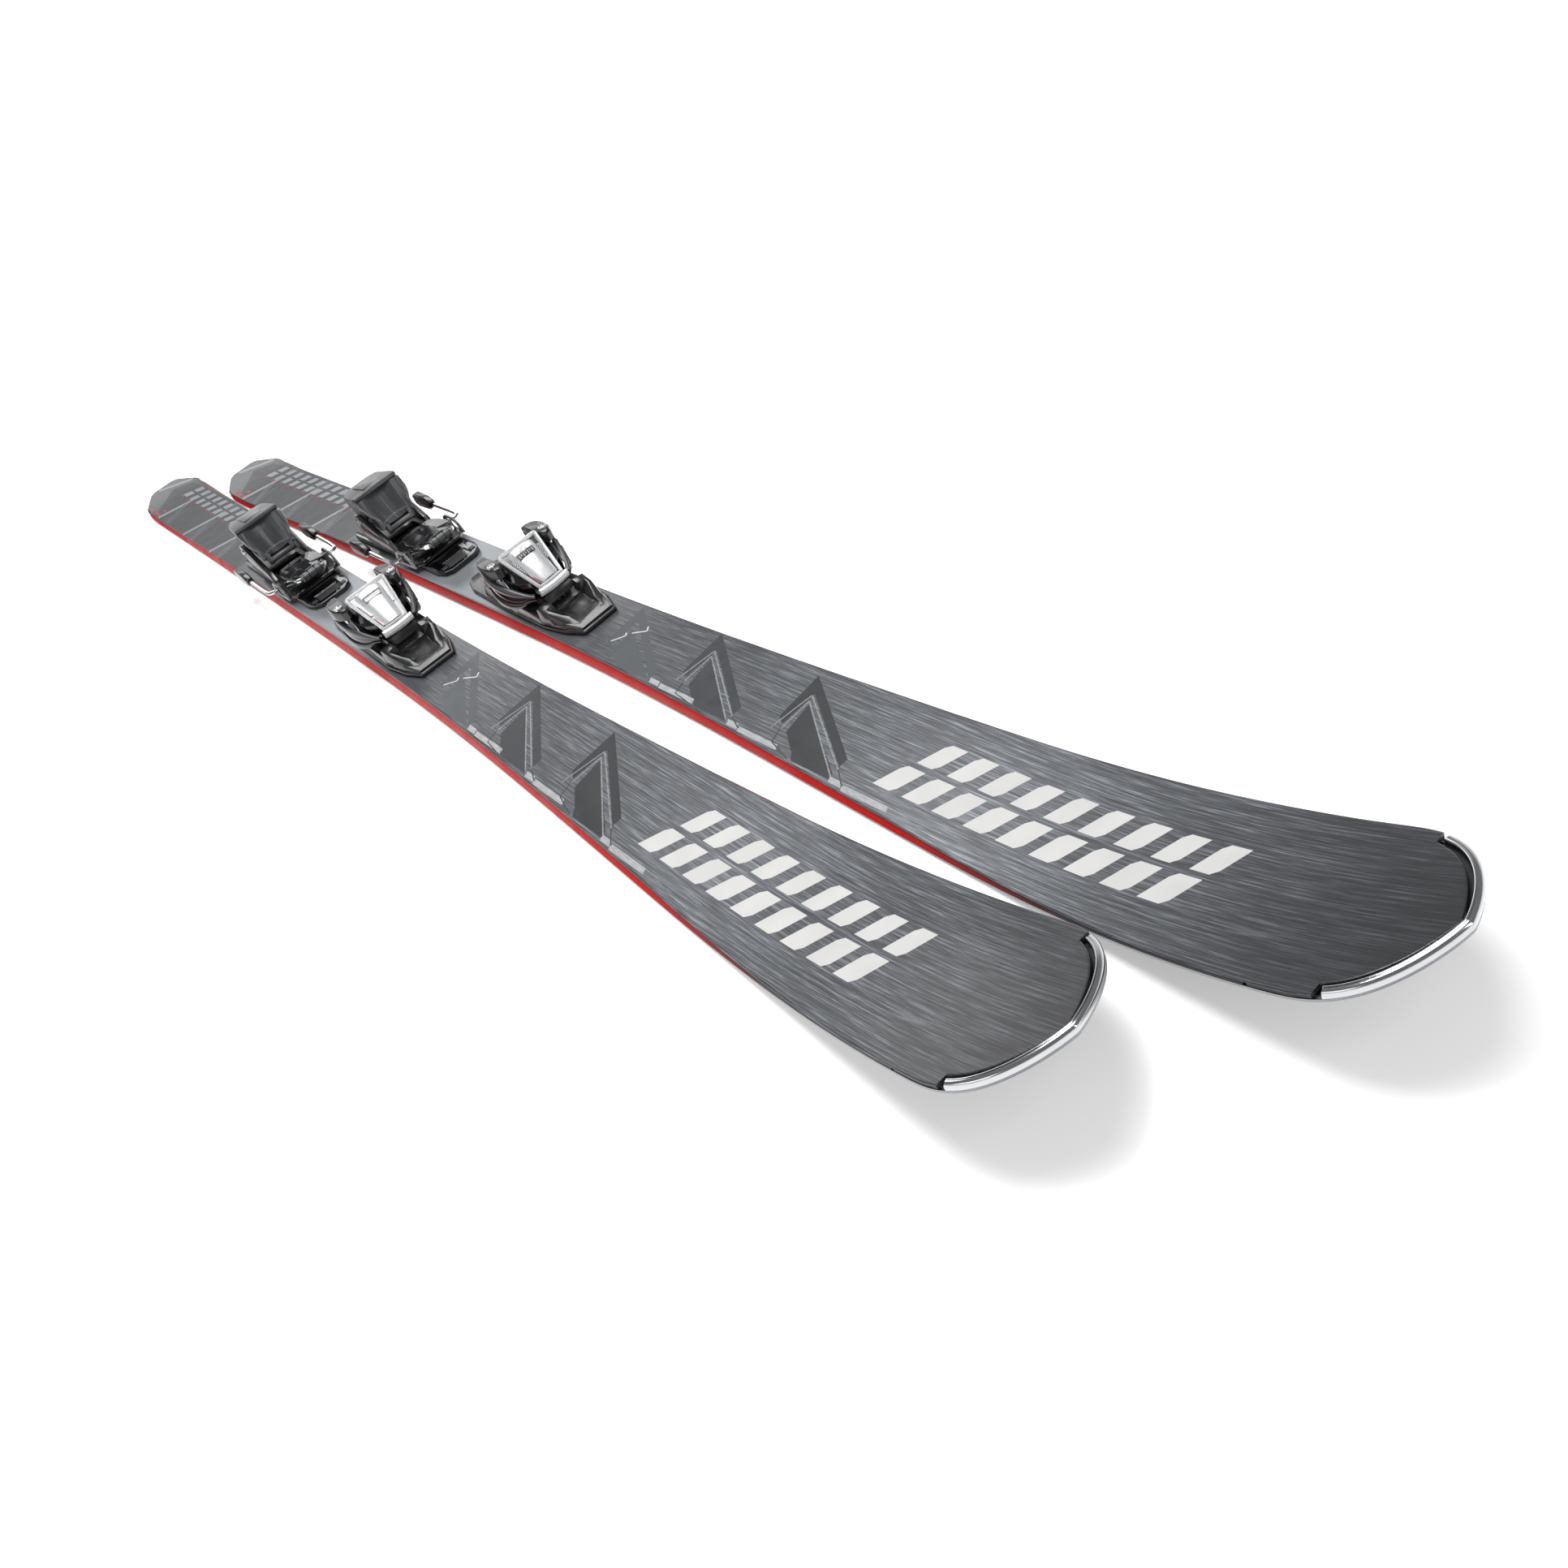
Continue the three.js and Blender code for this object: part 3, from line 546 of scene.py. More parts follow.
def sidewall(side, hand, label):
    """One red sidewall, leaning in a little towards the sheet."""
    rings = []
    for x in stations(RAIL_FROM, RAIL_TO):
        outer = half_width(x)
        low = base_height(x) + EDGE_THICK + GAP
        high = top_height(x) - SHEET_THICK - GAP
        top = outer - rail_lean(x)
        section = [(outer - RAIL_WIDTH, low), (outer - 0.15, low), (outer, low + 0.4),
                   (top - 0.25, high - 0.3), (top - 0.6, high), (outer - RAIL_WIDTH, high)]
        rings.append([(x, hand * y, z) for y, z in section])
    points, faces = loft(rings)
    node = f"sidewall_{label}"
    return add_piece(side, f"{node}_wall", points, faces, "wall", "sidewall", "ski", [node], 50)


def outline_loop(start=0.0):
    """The ski's outline from x = start, as (x, y, way inwards), from the right side round the tip."""
    xs = stations(start, LENGTH)
    loop = [(x, -half_width(x)) for x in xs] + [(x, half_width(x)) for x in reversed(xs)]
    found = []
    for i, (x, y) in enumerate(loop):
        closed = start == 0.0
        x0, y0 = loop[i - 1] if i or closed else loop[i]
        x1, y1 = loop[(i + 1) % len(loop)] if i + 1 < len(loop) or closed else loop[i]
        way = Vector((-(y1 - y0), x1 - x0)).normalized()
        found.append((x, y, way))
    return found


def outline_body(loop, section, joined):
    """A body swept round the outline; section gives (distance inwards, height) at a point's x."""
    rings = []
    for x, y, way in loop:
        ring = []
        for inset, height in section(x):
            px, py = x + way.x * inset, y + way.y * inset
            ring.append((px, py, base_height(px if height < LOW_POINT else x) + height))
        rings.append(ring)
    return loft(rings, joined)


def steel_edge(side):
    """The steel edge, one ring all round the running base."""
    def section(_):
        return [(0.15, 0), (EDGE_WIDTH, 0), (EDGE_WIDTH, EDGE_THICK), (0, EDGE_THICK), (0, 0.2)]

    points, faces = outline_body(outline_loop(), section, True)
    return add_piece(side, "edge_ring", points, faces, "edge", "edge_steel", "ski", ["steel_edge"], 40)


def tip_guard(side):
    """The polished guard round the tip: an inner bevel, a fine groove and a rounded outer band."""
    low = EDGE_THICK + GAP

    def section(x):
        top = thickness(x) + 0.8
        return [
            (0.0, low), (GUARD_WIDTH, low), (GUARD_WIDTH, top - 0.75), (4.6, top - 0.2), (4.1, top),
            (3.7, top - 0.05), (3.55, top - 0.75), (3.25, top - 0.75), (3.1, top - 0.05),
            (2.2, top), (1.3, top - 0.25), (0.6, top - 0.8), (0.15, top - 1.6), (0.0, top - 2.4),
        ]

    points, faces = outline_body(outline_loop(GUARD_START), section, False)
    return add_piece(side, "guard_band", points, faces, "chrome", "polished_steel", "ski", ["tip_guard"], 50)


def running_base(side):
    """The black running base inside the steel edge."""
    rings = []
    for x in stations(5, LENGTH - 3):
        clear = EDGE_WIDTH + GAP
        probe = x - clear if x < TAIL_RISE_X else (x + clear if x > TIP_START_X else x)
        reach, foot = half_width(probe) - clear, base_height(x)
        rings.append([(x, -reach, foot), (x, reach, foot), (x, reach, foot + 1.8), (x, -reach, foot + 1.8)])
    points, faces = loft(rings)
    return add_piece(side, "base_sheet", points, faces, "base", "running_base", "ski", ["base"])


def printed(side, name, polygons, finish, layer=1):
    """Flat printed shapes lying on the sheet, each an outline in x and y, split to follow its curve."""
    bm = bmesh.new()
    for polygon in polygons:
        corners = [bm.verts.new((x, y, 0.0)) for x, y in polygon]
        for a, b, c in tessellate_polygon([[Vector((x, y, 0)) for x, y in polygon]]):
            bm.faces.new((corners[a], corners[b], corners[c]))
    low = min(v.co.x for v in bm.verts)
    high = max(v.co.x for v in bm.verts)
    for x in stations(0, LENGTH):
        if low < x < high:
            geometry = [*bm.verts, *bm.edges, *bm.faces]
            bmesh.ops.bisect_plane(bm, geom=geometry, plane_co=(x, 0, 0), plane_no=(1, 0, 0))
    bmesh.ops.dissolve_degenerate(bm, dist=1e-4, edges=bm.edges)
    for face in bm.faces:
        if face.normal.z < 0:
            face.normal_flip()
    points = [(v.co.x, v.co.y, top_height(v.co.x) + PRINT_LIFT * layer) for v in bm.verts]
    bm.verts.index_update()
    faces = [tuple(v.index for v in face.verts) for face in bm.faces]
    bm.free()
    return add_piece(side, name, points, faces, finish, "topsheet", "ski", sharp_deg=60)


def bar(start, end, width):
    """A straight printed line between two points as a thin quadrilateral."""
    (x0, y0), (x1, y1) = start, end
    length = math.hypot(x1 - x0, y1 - y0)
    ox, oy = -(y1 - y0) / length * width / 2, (x1 - x0) / length * width / 2
    return [(x0 + ox, y0 + oy), (x0 - ox, y0 - oy), (x1 - ox, y1 - oy), (x1 + ox, y1 + oy)]


def run(points, width):
    """A printed line through several points."""
    return [bar(a, b, width) for a, b in zip(points, points[1:])]


PEAKS = ((1132, 35, "panel_dark"), (1006, 37, "panel"), (896, 33, "panel_pale"))
PEAK_BAND = ((4, -48), (0, 0), (91, -57), (91, -66), (13, -17), (13, -53))
PEAK_PANEL = ((17, -27), (91, -73), (94, -84), (50, -84), (44, -72), (23, -58))


def chevrons(side):
    """Three peaked panels ahead of the toe piece, with broken double outlines inside the two darker ones."""
    for index, (x0, y0, finish) in enumerate(PEAKS):
        def at(points, x0=x0, y0=y0):
            edge = -(sheet_half(x0 + 60) - SHEET_ROUND - 0.8)
            return [(x0 + x, max(y0 + y, edge)) for x, y in points]

        printed(side, f"peak_{index}_panel", [at(PEAK_BAND), at(PEAK_PANEL)], finish)
        if finish != "panel_pale":
            outline = at([(7, -60), (12, -19), (92, -68)])
            inner = at([(16, -58), (15, -25), (92, -76)])
            printed(side, f"peak_{index}_lines", run(outline, 1.3) + run(inner, 1.3), "line_pale", 2)
            frame_line = at([(15, -56), (20, -71), (46, -84)])
            tail_line = at([(92, -68), (106, -79), (108, -86)])
            printed(side, f"peak_{index}_frame", run(frame_line, 1.0) + run(tail_line, 1.0), "line_dark", 2)
        start, end = x0 + 94, x0 + 156
        patches = []
        for a, b in ((start, start + 13), (start + 15, end)):
            edge = sheet_half((a + b) / 2) - SHEET_ROUND - 0.4
            patches.append([(a, -edge), (b, -edge), (b - 3, 5 - edge), (a - 3, 5 - edge)])
        printed(side, f"peak_{index}_patch", patches, "patch")


def front_motif(side):
    """Two staggered rows of slanted white bars along the front of the ski."""
    pitch, lean, clip = 29.0, 0.34, 4.5
    rows = ((1258.0, -31.0, -6.0, 21.0), (1274.0, -1.0, 24.0, 19.0))
    polygons = []
    for start, low, high, length in rows:
        for index in range(9):
            x = start + pitch * index
            rise = lean * (high - low)
            polygons.append([(x, low), (x + length - clip, low), (x + length, low + clip),
                             (x + length + rise, high), (x + clip + rise, high), (x + rise, high - clip)])
    printed(side, "front_bars", polygons, "white")


def tail_graphics(side):
    """Dark panels, pale crossing lines, slanted bars with red edging and a red block mark."""
    panels = [
        [(22, 6), (60, -36), (84, -38), (112, 6), (96, 36), (38, 30)],
        [(118, -37), (176, -36), (214, 10), (196, 37), (128, 37), (110, 18)],
        [(226, -36), (286, -35), (322, 8), (306, 36), (236, 36), (214, 16)],
        [(334, -35), (388, -35), (396, 30), (342, 35), (322, 12)],
    ]
    printed(side, "tail_panels", panels, "tail_panel")
    stripes, hairlines = [], []
    for start in (74, 184, 292):
        stripes.append(bar((start, -38), (start + 20, 18), 6.5))
        hairlines.extend(run([(start + 32, -38), (start + 12, 2), (start + 18, 37)], 1.6))
        hairlines.extend(run([(start + 38, -38), (start + 18, 2), (start + 24, 37)], 1.6))
    stripes.append(bar((4, -8), (30, 34), 6.0))
    printed(side, "tail_stripes", stripes, "stripe_pale", 2)
    printed(side, "tail_hairlines", hairlines, "line_pale", 3)
    bars, reds = [], []
    for index in range(12):
        x = 52 + 24 * index
        for low, high in ((8.0, 19.0), (22.0, 33.0)):
            start, lean = x + 0.55 * low, 0.55 * (high - low)
            bars.append([(start, low), (start + 13, low), (start + 13 + lean, high), (start + lean, high)])
        reds.append([(x + 2.2, 5.6), (x + 12, 5.6), (x + 12.6, 6.8), (x + 2.8, 6.8)])
    printed(side, "tail_bar_edging", reds, "red_ink", 4)
    printed(side, "tail_bars", bars, "stripe_pale", 5)
    blocks = [[(x, y), (x + w, y), (x + w + 1.5, y + 3.4), (x + 1.5, y + 3.4)]
              for x, y, w in ((40, -36, 7), (49, -36, 3), (54, -36, 9), (66, -36, 5), (62, -27, 8))]
    printed(side, "tail_red_blocks", blocks, "red_ink", 4)


def small_mark(side):
    """A small pale pair of strokes ahead of the toe piece."""
    strokes = run([(905, -14), (914, -3), (911, 0)], 1.5) + run([(917, 2), (930, 10), (926, 15)], 1.5)
    printed(side, "front_mark", strokes, "white", 3)


# ---------------------------------------------------- toe piece

SLOPE = math.radians(38.8)
SLOPE_X, SLOPE_Z = 775.5, 77.0
COVER_LENGTH, COVER_REAR, COVER_FRONT = 50.0, 23.2, 14.5


def on_slope(u, v, w):
    """A point on the toe's sloping top: u down the slope, v across it, w out of it."""
    return (SLOPE_X + u * math.cos(SLOPE) + w * math.sin(SLOPE), v,
            SLOPE_Z - u * math.sin(SLOPE) + w * math.cos(SLOPE))


def slope_box(u0, u1, v0, v1, w0, w1):
    """A box on the sloping top, between two values of u, of v and of w."""
    corners = ((u0, v0), (u1, v0), (u1, v1), (u0, v1))
    return loft([[on_slope(u, v, w) for u, v in corners] for w in (w0, w1)])


def cover_half(u):
    """Half width of the toe cover at u down its slope."""
    return COVER_REAR + (COVER_FRONT - COVER_REAR) * u / COVER_LENGTH


def rounded_trapezoid(inset, radius=3.2, arc=5):
    """The cover's outline, moved inwards by inset, with rounded corners; always the same count."""
    ends = (inset, COVER_LENGTH - inset)
    corners = [(ends[0], -1), (ends[1], -1), (ends[1], 1), (ends[0], 1)]
    starts = (math.pi, 1.5 * math.pi, 0.0, 0.5 * math.pi)
    round_by = max(0.6, radius - inset * 0.6)
    loop = []
    for (u, hand), start in zip(corners, starts):
        cu = u + (round_by if u == ends[0] else -round_by)
        cv = hand * (cover_half(u) - inset - round_by)
        turns = [start + math.pi / 2 * k / (arc - 1) for k in range(arc)]
        loop.extend((cu + round_by * math.cos(t), cv + round_by * math.sin(t)) for t in turns)
    return loop


def toe_frame(side):
    """The clear bevelled frame round the cover, with its lip at the lower end."""
    section = ((0.0, 0.3), (0.0, 2.0), (0.5, 3.4), (1.5, 4.2), (2.5, 4.0), (3.3, 2.9), (3.7, 0.3))
    loops = [rounded_trapezoid(inset) for inset, _ in section]
    rings = [[on_slope(u, v, w) for (u, v), (_, w) in zip(corner, section)] for corner in zip(*loops)]
    lip_half = 16.5
    lip_shape = ((50.4, 0.4), (50.4, 3.0), (53.0, 3.2), (55.4, 1.4), (56.0, -1.6), (55.0, -4.3), (53.2, -4.3))
    lip = []
    for k in range(13):
        v = lip_half * (k / 6 - 1)
        bow = 1.2 * (v / lip_half) ** 2
        lip.append([on_slope(u - bow, v, w) for u, w in lip_shape])
    points, faces = merge(loft(rings, True), loft(lip))
    piece = add_piece(side, "toe_frame", points, faces, "clear", "clear_plastic", "ski", ["toe_bezel"])
    return round_edges(piece, 0.25)


def toe_panel(side):
    """The crowned satin panel, the dark tray it lies in, the check strips and the setting window."""
    tray_top = 1.2
    tray = [[on_slope(u, v, w) for u, v in rounded_trapezoid(3.6)] for w in (0.35, tray_top)]
    add_piece(side, "toe_tray", *loft(tray), "gloss", "gloss_black", "ski")
    rings = []
    count = 16
    for i in range(19):
        s = i / 18
        u = 4.4 + 41.4 * s
        reach = (cover_half(u) - 4.4) * (0.80 + 0.16 * s) * min(1.0, 0.9 + 0.9 * min(s, 1 - s) * 6)
        lift = 2.0 + 1.9 * math.sin(math.pi * min(1.0, 0.12 + 0.84 * s)) ** 0.8
        ring = [on_slope(u, -reach, 0.8), on_slope(u, reach, 0.8)]
        for k in range(count + 1):
            t = 1 - 2 * k / count
            ring.append(on_slope(u, reach * t, 1.2 + (lift - 0.2) * (1 - abs(t) ** 3.2)))
        rings.append(ring)
    add_piece(side, "toe_crown", *loft(rings), "silver", "satin_silver", "ski", ["toe_cover"], 50)

    strips = []
    for hand in (1, -1):
        corners = ((13, 0.99), (30, 0.99), (30, 0.82), (13, 0.8))
        outline = [(u, hand * share * (cover_half(u) - 4.0)) for u, share in corners]
        strips.append(loft([[on_slope(u, v, w) for u, v in outline] for w in (tray_top, tray_top + 1.3)]))
    add_piece(side, "toe_checks", *merge(*strips), "checker", "gloss_black", "ski")

    glass = slope_box(6.5, 12.2, -10.5, 10.5, 2.0, 6.2)
    window = add_piece(side, "toe_window", *glass, "window", "clear_plastic", "ski")
    round_edges(window, 0.8)
    bed = slope_box(12.6, 17.6, -9, 9, 2.0, 5.4)
    slot = add_piece(side, "toe_scale_bed", *bed, "gloss", "gloss_black", "ski")
    round_edges(slot, 0.5)
    ticks = []
    for k in range(7):
        v = 2.4 * (k - 3)
        tall = 3.4 if k % 2 == 0 else 2.0
        ticks.append(slope_box(13.4, 13.4 + tall, v - 0.35, v + 0.35, 5.3, 5.5))
    add_piece(side, "toe_scale_ticks", *merge(*ticks), "white", "clear_plastic", "ski")

    facet = ((33, 0.99), (45, 0.98), (45, 0.72), (38, 0.84))
    outline = [(u, -share * (cover_half(u) - 4.0)) for u, share in facet]
    body = loft([[on_slope(u, v, w) for u, v in outline] for w in (tray_top, tray_top + 1.6)])
    add_piece(side, "toe_facet", *body, "red_trim", "gloss_black", "ski")


# A wing's pin, and its band from head to front end as (x, y, top, foot).
WING_PIN = (777.0, 31.0)
WING_PATH = (
    (746.8, 25.5, 74.0, 47.0), (748.5, 31.0, 73.0, 43.0), (754.0, 35.6, 70.0, 38.0),
    (764.0, 38.0, 65.5, 33.0), (775.0, 37.6, 60.0, 30.6), (786.0, 35.0, 54.5, 30.2),
    (796.0, 31.0, 49.5, 32.6), (803.5, 26.6, 45.5, 36.8), (809.5, 21.5, 42.0, 36.8),
)


def smooth_path(path, per_span=4):
    """Points on a smooth curve through the path's points."""
    found = []
    for i in range(len(path) - 1):
        p0, p1 = path[max(0, i - 1)], path[i]
        p2, p3 = path[i + 1], path[min(len(path) - 1, i + 2)]
        for k in range(per_span):
            t = k / per_span
            point = []
            for a, b, c, d in zip(p0, p1, p2, p3):
                square, cube = 2 * a - 5 * b + 4 * c - d, 3 * b - a - 3 * c + d
                point.append(0.5 * (2 * b + (c - a) * t + square * t**2 + cube * t**3))
            found.append(tuple(point))
    return [*found, path[-1]]


def wing_band(hand, outer, inner, upper, lower):
    """Part of a wing between two depths and two heights; heights are shares of the wing's own."""
    path = smooth_path(WING_PATH)
    rings = []
    for i, (x, y, top, foot) in enumerate(path):
        x0, y0 = path[max(0, i - 1)][:2]
        x1, y1 = path[min(len(path) - 1, i + 1)][:2]
        way = Vector((y1 - y0, -(x1 - x0))).normalized()
        if way.dot(Vector((778 - x, -y))) < 0:
            way = -way
        high, low = foot + (top - foot) * upper, foot + (top - foot) * lower
        soft = min(0.9, (high - low) / 4)
        section = ((outer + soft, low), (outer, low + soft), (outer, high - soft), (outer + soft, high),
                   (inner, high), (inner, low))
        rings.append([(x + way.x * depth, hand * (y + way.y * depth), z) for depth, z in section])
    return loft(rings)


def toe_wing(side, hand, label):
    """A wing: a satin upper band and lower rail over a recessed dark wall, with the head on top."""
    body = f"toe_wing_{label}"
    wall = wing_band(hand, 1.7, 4.0, 0.96, 0.04)
    add_piece(side, f"{body}_wall", *wall, "gloss", "gloss_black", body, sharp_deg=50)
    upper = wing_band(hand, 0.0, 3.6, 1.0, 0.66)
    add_piece(side, f"{body}_band", *upper, "satin", "binding_satin", body, [body], 50)
    lower = wing_band(hand, 0.3, 3.4, 0.3, 0.0)
    add_piece(side, f"{body}_rail", *lower, "black", "binding_black", body, sharp_deg=50)
    outline = [(748.0, 22.6), (747.2, 27.0), (749.5, 32.8), (756.0, 36.8), (767.0, 38.4), (778.0, 37.4),
               (786.0, 33.0), (788.0, 28.0), (784.0, 24.0), (770.0, 22.4)]
    layers = ((1.0, 64.5), (1.0, 72.5), (0.93, 74.2), (0.8, 75.0))
    middle = Vector((767.5, 30.0))
    rings = [[(middle.x + (x - middle.x) * share, hand * (middle.y + (y - middle.y) * share), z)
              for x, y in outline] for share, z in layers]
    head = add_piece(side, f"{body}_head", *loft(rings), "black", "binding_black", body)
    round_edges(head, 0.5)
    if hand > 0:
        ribs = []
        path = smooth_path(WING_PATH)
        for k in range(7):
            x, y, top, foot = path[int(9.6 + 2.72 * k)]
            corners = ((x - 1.0, y - 1.5), (x + 1.0, y - 1.5), (x + 0.8, y + 0.7), (x - 0.8, y + 0.7))
            ribs.append(loft([[(a, hand * b, z) for a, b in corners]
                              for z in (foot + (top - foot) * 0.35, foot + (top - foot) * 0.95)]))
        add_piece(side, f"{body}_ribs", *merge(*ribs), "charcoal", "binding_charcoal", body)


def toe_cheeks(side):
    """Dark cheeks of the toe housing that fill the space between the cover and each wing."""
    half = ((767, 17, 72), (767, 25.5, 61), (778, 27.6, 61), (788, 27.4, 58), (796, 23.6, 54),
            (800, 18, 52), (802, 13, 51))
    bodies = []
    for hand in (1, -1):
        low = [(x, hand * y, 36.8) for x, y, _ in half]
        high = [(x, hand * y, z) for x, y, z in half]
        bodies.append(loft([low, high]))
    piece = add_piece(side, "toe_cheeks", *merge(*bodies), "gloss", "gloss_black", "ski")
    return round_edges(piece, 0.6)


def turned(profile, centre, sides=24):
    """A round body about a vertical axis from (radius, height) pairs."""
    cx, cy = centre
    rings = []
    for radius, z in profile:
        turns = [2 * math.pi * k / sides for k in range(sides)]
        rings.append([(cx + radius * math.cos(t), cy + radius * math.sin(t), z) for t in turns])
    return loft(rings)


def toe_rivet(side, hand, label):
    """The dished round rivet head in each wing."""
    profile = (
        (2.1, 58), (2.1, 74.4), (4.3, 74.5), (4.4, 75.6), (3.9, 76.3), (3.0, 76.4), (2.5, 75.9), (0.4, 75.7),
    )
    points, faces = turned(profile, (WING_PIN[0], hand * WING_PIN[1]))
    body = f"toe_wing_{label}"
    add_piece(side, f"toe_rivet_{label}", points, faces, "steel", "spring_steel", body, [f"toe_pin_{label}"])


# ---------------------------------------------------- heel piece

BRAKE_BAR = (590.0, 41.0)
ROLL_HALF, ROLL_RADIUS = 12.6, 4.6
TRACK_DECK = 19.3
SCALE_FROM, SCALE_TO, SCALE_HALF = 595, 610, 13
TAB_X, TAB_Y, TAB_HALF = 606, 18, 3


def strip_along(points, wide, deep):
    """A band through points with a chamfered section; wide along x, deep along y."""
    rings = []
    for x, y, z in points:
        out = 1 if y >= 0 else -1
        section = ((-wide, -deep), (-wide, 0.5), (-0.3, 0.6), (0.5, 0.1), (0.5, -0.7), (-0.6, -deep))
        rings.append([(x + dx, y + out * dy, z) for dx, dy in section])
    return loft(rings)


def heel_rim(side):
    """The lighter grey rim down both sides of the cup's mouth, and the sill across its foot."""
    edge = ((502.0, 20.9, 46.0), (502.0, 20.9, 52.0), (502.0, 21.2, 58.0), (500.2, 24.0, 63.0),
            (496.2, 26.5, 70.0), (491.5, 26.9, 76.0), (489.2, 27.0, 79.6))
    curve = smooth_path(edge, 5)
    bodies = [strip_along([(x, hand * y, z) for x, y, z in curve], 3.4, 2.4) for hand in (1, -1)]
    add_piece(side, "heel_rim", *merge(*bodies), "rim", "binding_satin", "heel_cup", sharp_deg=50)
    sill_half = 19.5
    sill_section = ((-2.2, 47.6), (0.9, 47.4), (1.2, 50.2), (0.3, 51.6), (-1.2, 51.2))
    sill = []
    for k in range(15):
        y = sill_half * (k / 7 - 1)
        x = 493.2 + 8.2 * (y / sill_half) ** 2
        sill.append([(x + dx, y, z) for dx, z in sill_section])
    add_piece(side, "heel_sill", *loft(sill), "rim", "binding_satin", "heel_cup", sharp_deg=50)


def brake_treadle(side):
    """The brake pedal: three glossy panels rising to ridges, with a grooved roll over the wire."""
    outline = ((529, 16.5), (535, 20.0), (548, 23.2), (562, 23.6), (573, 22.4), (576, 14.5), (588, 13.2))
    rings = []
    for x, wide in outline:
        under = 42.0 - 0.09 * (BRAKE_BAR[0] - x)
        ridge = wide * (0.34 + 0.12 * (x - 529) / 59)
        rise = 2.2 + 2.2 * smoothstep(529, 560, x)
        rings.append([(x, -wide, under), (x, wide, under), (x, wide, under + 1.8), (x, ridge, under + rise),
                      (x, ridge - 1.2, under + rise + 0.35), (x, 1.2 - ridge, under + rise + 0.35),
                      (x, -ridge, under + rise), (x, -wide, under + 1.8)])
    body = "brake_pedal"
    shell = add_piece(side, "pedal_shell", *loft(rings), "gloss", "gloss_black", body, [body], 20)
    round_edges(shell, 0.5, angle_deg=12)
    roll = []
    bar_x, bar_z = BRAKE_BAR
    turns = [2 * math.pi * k / 24 for k in range(24)]
    for k in range(51):
        y = ROLL_HALF * (k / 25 - 1)
        grooved = any(abs(abs(y) - place) < 0.5 for place in (4.4, 10.2))
        radius = ROLL_RADIUS - (0.8 if grooved else 0.0) - (0.7 if abs(y) > ROLL_HALF - 0.4 else 0.0)
        roll.append([(bar_x + radius * math.cos(t), y, bar_z + radius * math.sin(t)) for t in turns])
    add_piece(side, "pedal_roll", *loft(roll), "satin", "binding_satin", "brake_pedal", sharp_deg=50)


def heel_loops(side):
    """The grey loop on each side of the carriage that the brake wire turns in."""
    outer = ((526, 20), (533, 32.6), (540, 36.2), (556, 36.2), (564, 30.5), (569, 20))
    inner = ((533, 22.6), (539, 31.2), (543, 33.4), (554, 33.4), (560, 28.6), (562, 22.6))
    bodies = []
    for hand in (1, -1):
        y0, y1 = hand * 31.3, hand * 33.6
        rings = [[(ox, y0, oz), (ix, y0, iz), (ix, y1, iz), (ox, y1, oz)]
                 for (ox, oz), (ix, iz) in zip(outer, inner)]
        bodies.append(loft(rings, True))
    piece = add_piece(side, "heel_loops", *merge(*bodies), "rim", "binding_satin", "heel_carriage")
    return round_edges(piece, 0.5)


def track_scale(side):
    """The fine scale in the track's front recess and the two stop tabs beside it."""
    bed = [(SCALE_FROM, -SCALE_HALF), (SCALE_TO, -SCALE_HALF), (SCALE_TO, SCALE_HALF), (SCALE_FROM, SCALE_HALF)]
    plate = prism(bed, TRACK_DECK - 1.1, TRACK_DECK - 0.75)
    add_piece(side, "track_scale", *plate, "fine_checks", "binding_black", "ski")
    tabs = []
    for y in (-TAB_Y, TAB_Y):
        turns = ((-1, -1), (1, -1), (1, 1), (-1, 1))
        square = [(TAB_X + TAB_HALF * i, y + TAB_HALF * j) for i, j in turns]
        tabs.append(prism(square, TRACK_DECK - 0.2, TRACK_DECK + 1.0))
    piece = add_piece(side, "track_tabs", *merge(*tabs), "charcoal", "binding_charcoal", "ski")
    return round_edges(piece, 0.6)


# ---------------------------------------------------- bindings from the CAD nodes

CAD_FINISHES = {
    "core": ("wood", 0),
    "toe_plate": ("black", 0.7),
    "toe_base": ("black", 0.8),
    "toe_housing": ("black", 0.8),
    "gliding_plate": ("charcoal", 1.0),
    "toe_spring": ("steel", 0),
    "toe_screw": ("steel", 0.3),
    "heel_track": ("gloss", 0.8),
    "heel_carriage": ("black", 0.9),
    "heel_cup": ("cup", 1.1),
    "heel_lever": ("satin", 1.0),
    "heel_pin": ("steel", 0.3),
    "heel_spring": ("steel", 0),
    "heel_screw": ("steel", 0.3),
    "brake_wire": ("chrome", 0),
    "brake_foot_left": ("black", 1.2),
    "brake_foot_right": ("black", 1.2),
}


def dress_node(side, name, finish, rounding):
    """Gives a CAD node its finish, smooth shading and rounded edges."""
    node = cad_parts[f"{side}_{name}"]
    node.data.materials.clear()
    node.data.materials.append(FINISHES[side][finish])
    for face in node.data.polygons:
        face.use_smooth = True
        face.material_index = 0
    if rounding:
        round_edges(node, rounding)


# ---------------------------------------------------- stage, camera and lights


def area_light(name, at, size, power, aim=(0.0, 0.0, 0.0)):
    """A rectangular soft light at a place, turned towards aim."""
    lamp = bpy.data.lights.new(name, "AREA")
    lamp.shape = "RECTANGLE"
    lamp.size, lamp.size_y = size
    lamp.energy = power
    made = bpy.data.objects.new(name, lamp)
    bpy.context.scene.collection.objects.link(made)
    made.location = at
    made.rotation_mode = "QUATERNION"
    made.rotation_quaternion = (Vector(aim) - Vector(at)).to_track_quat("-Z", "Y")
    return made


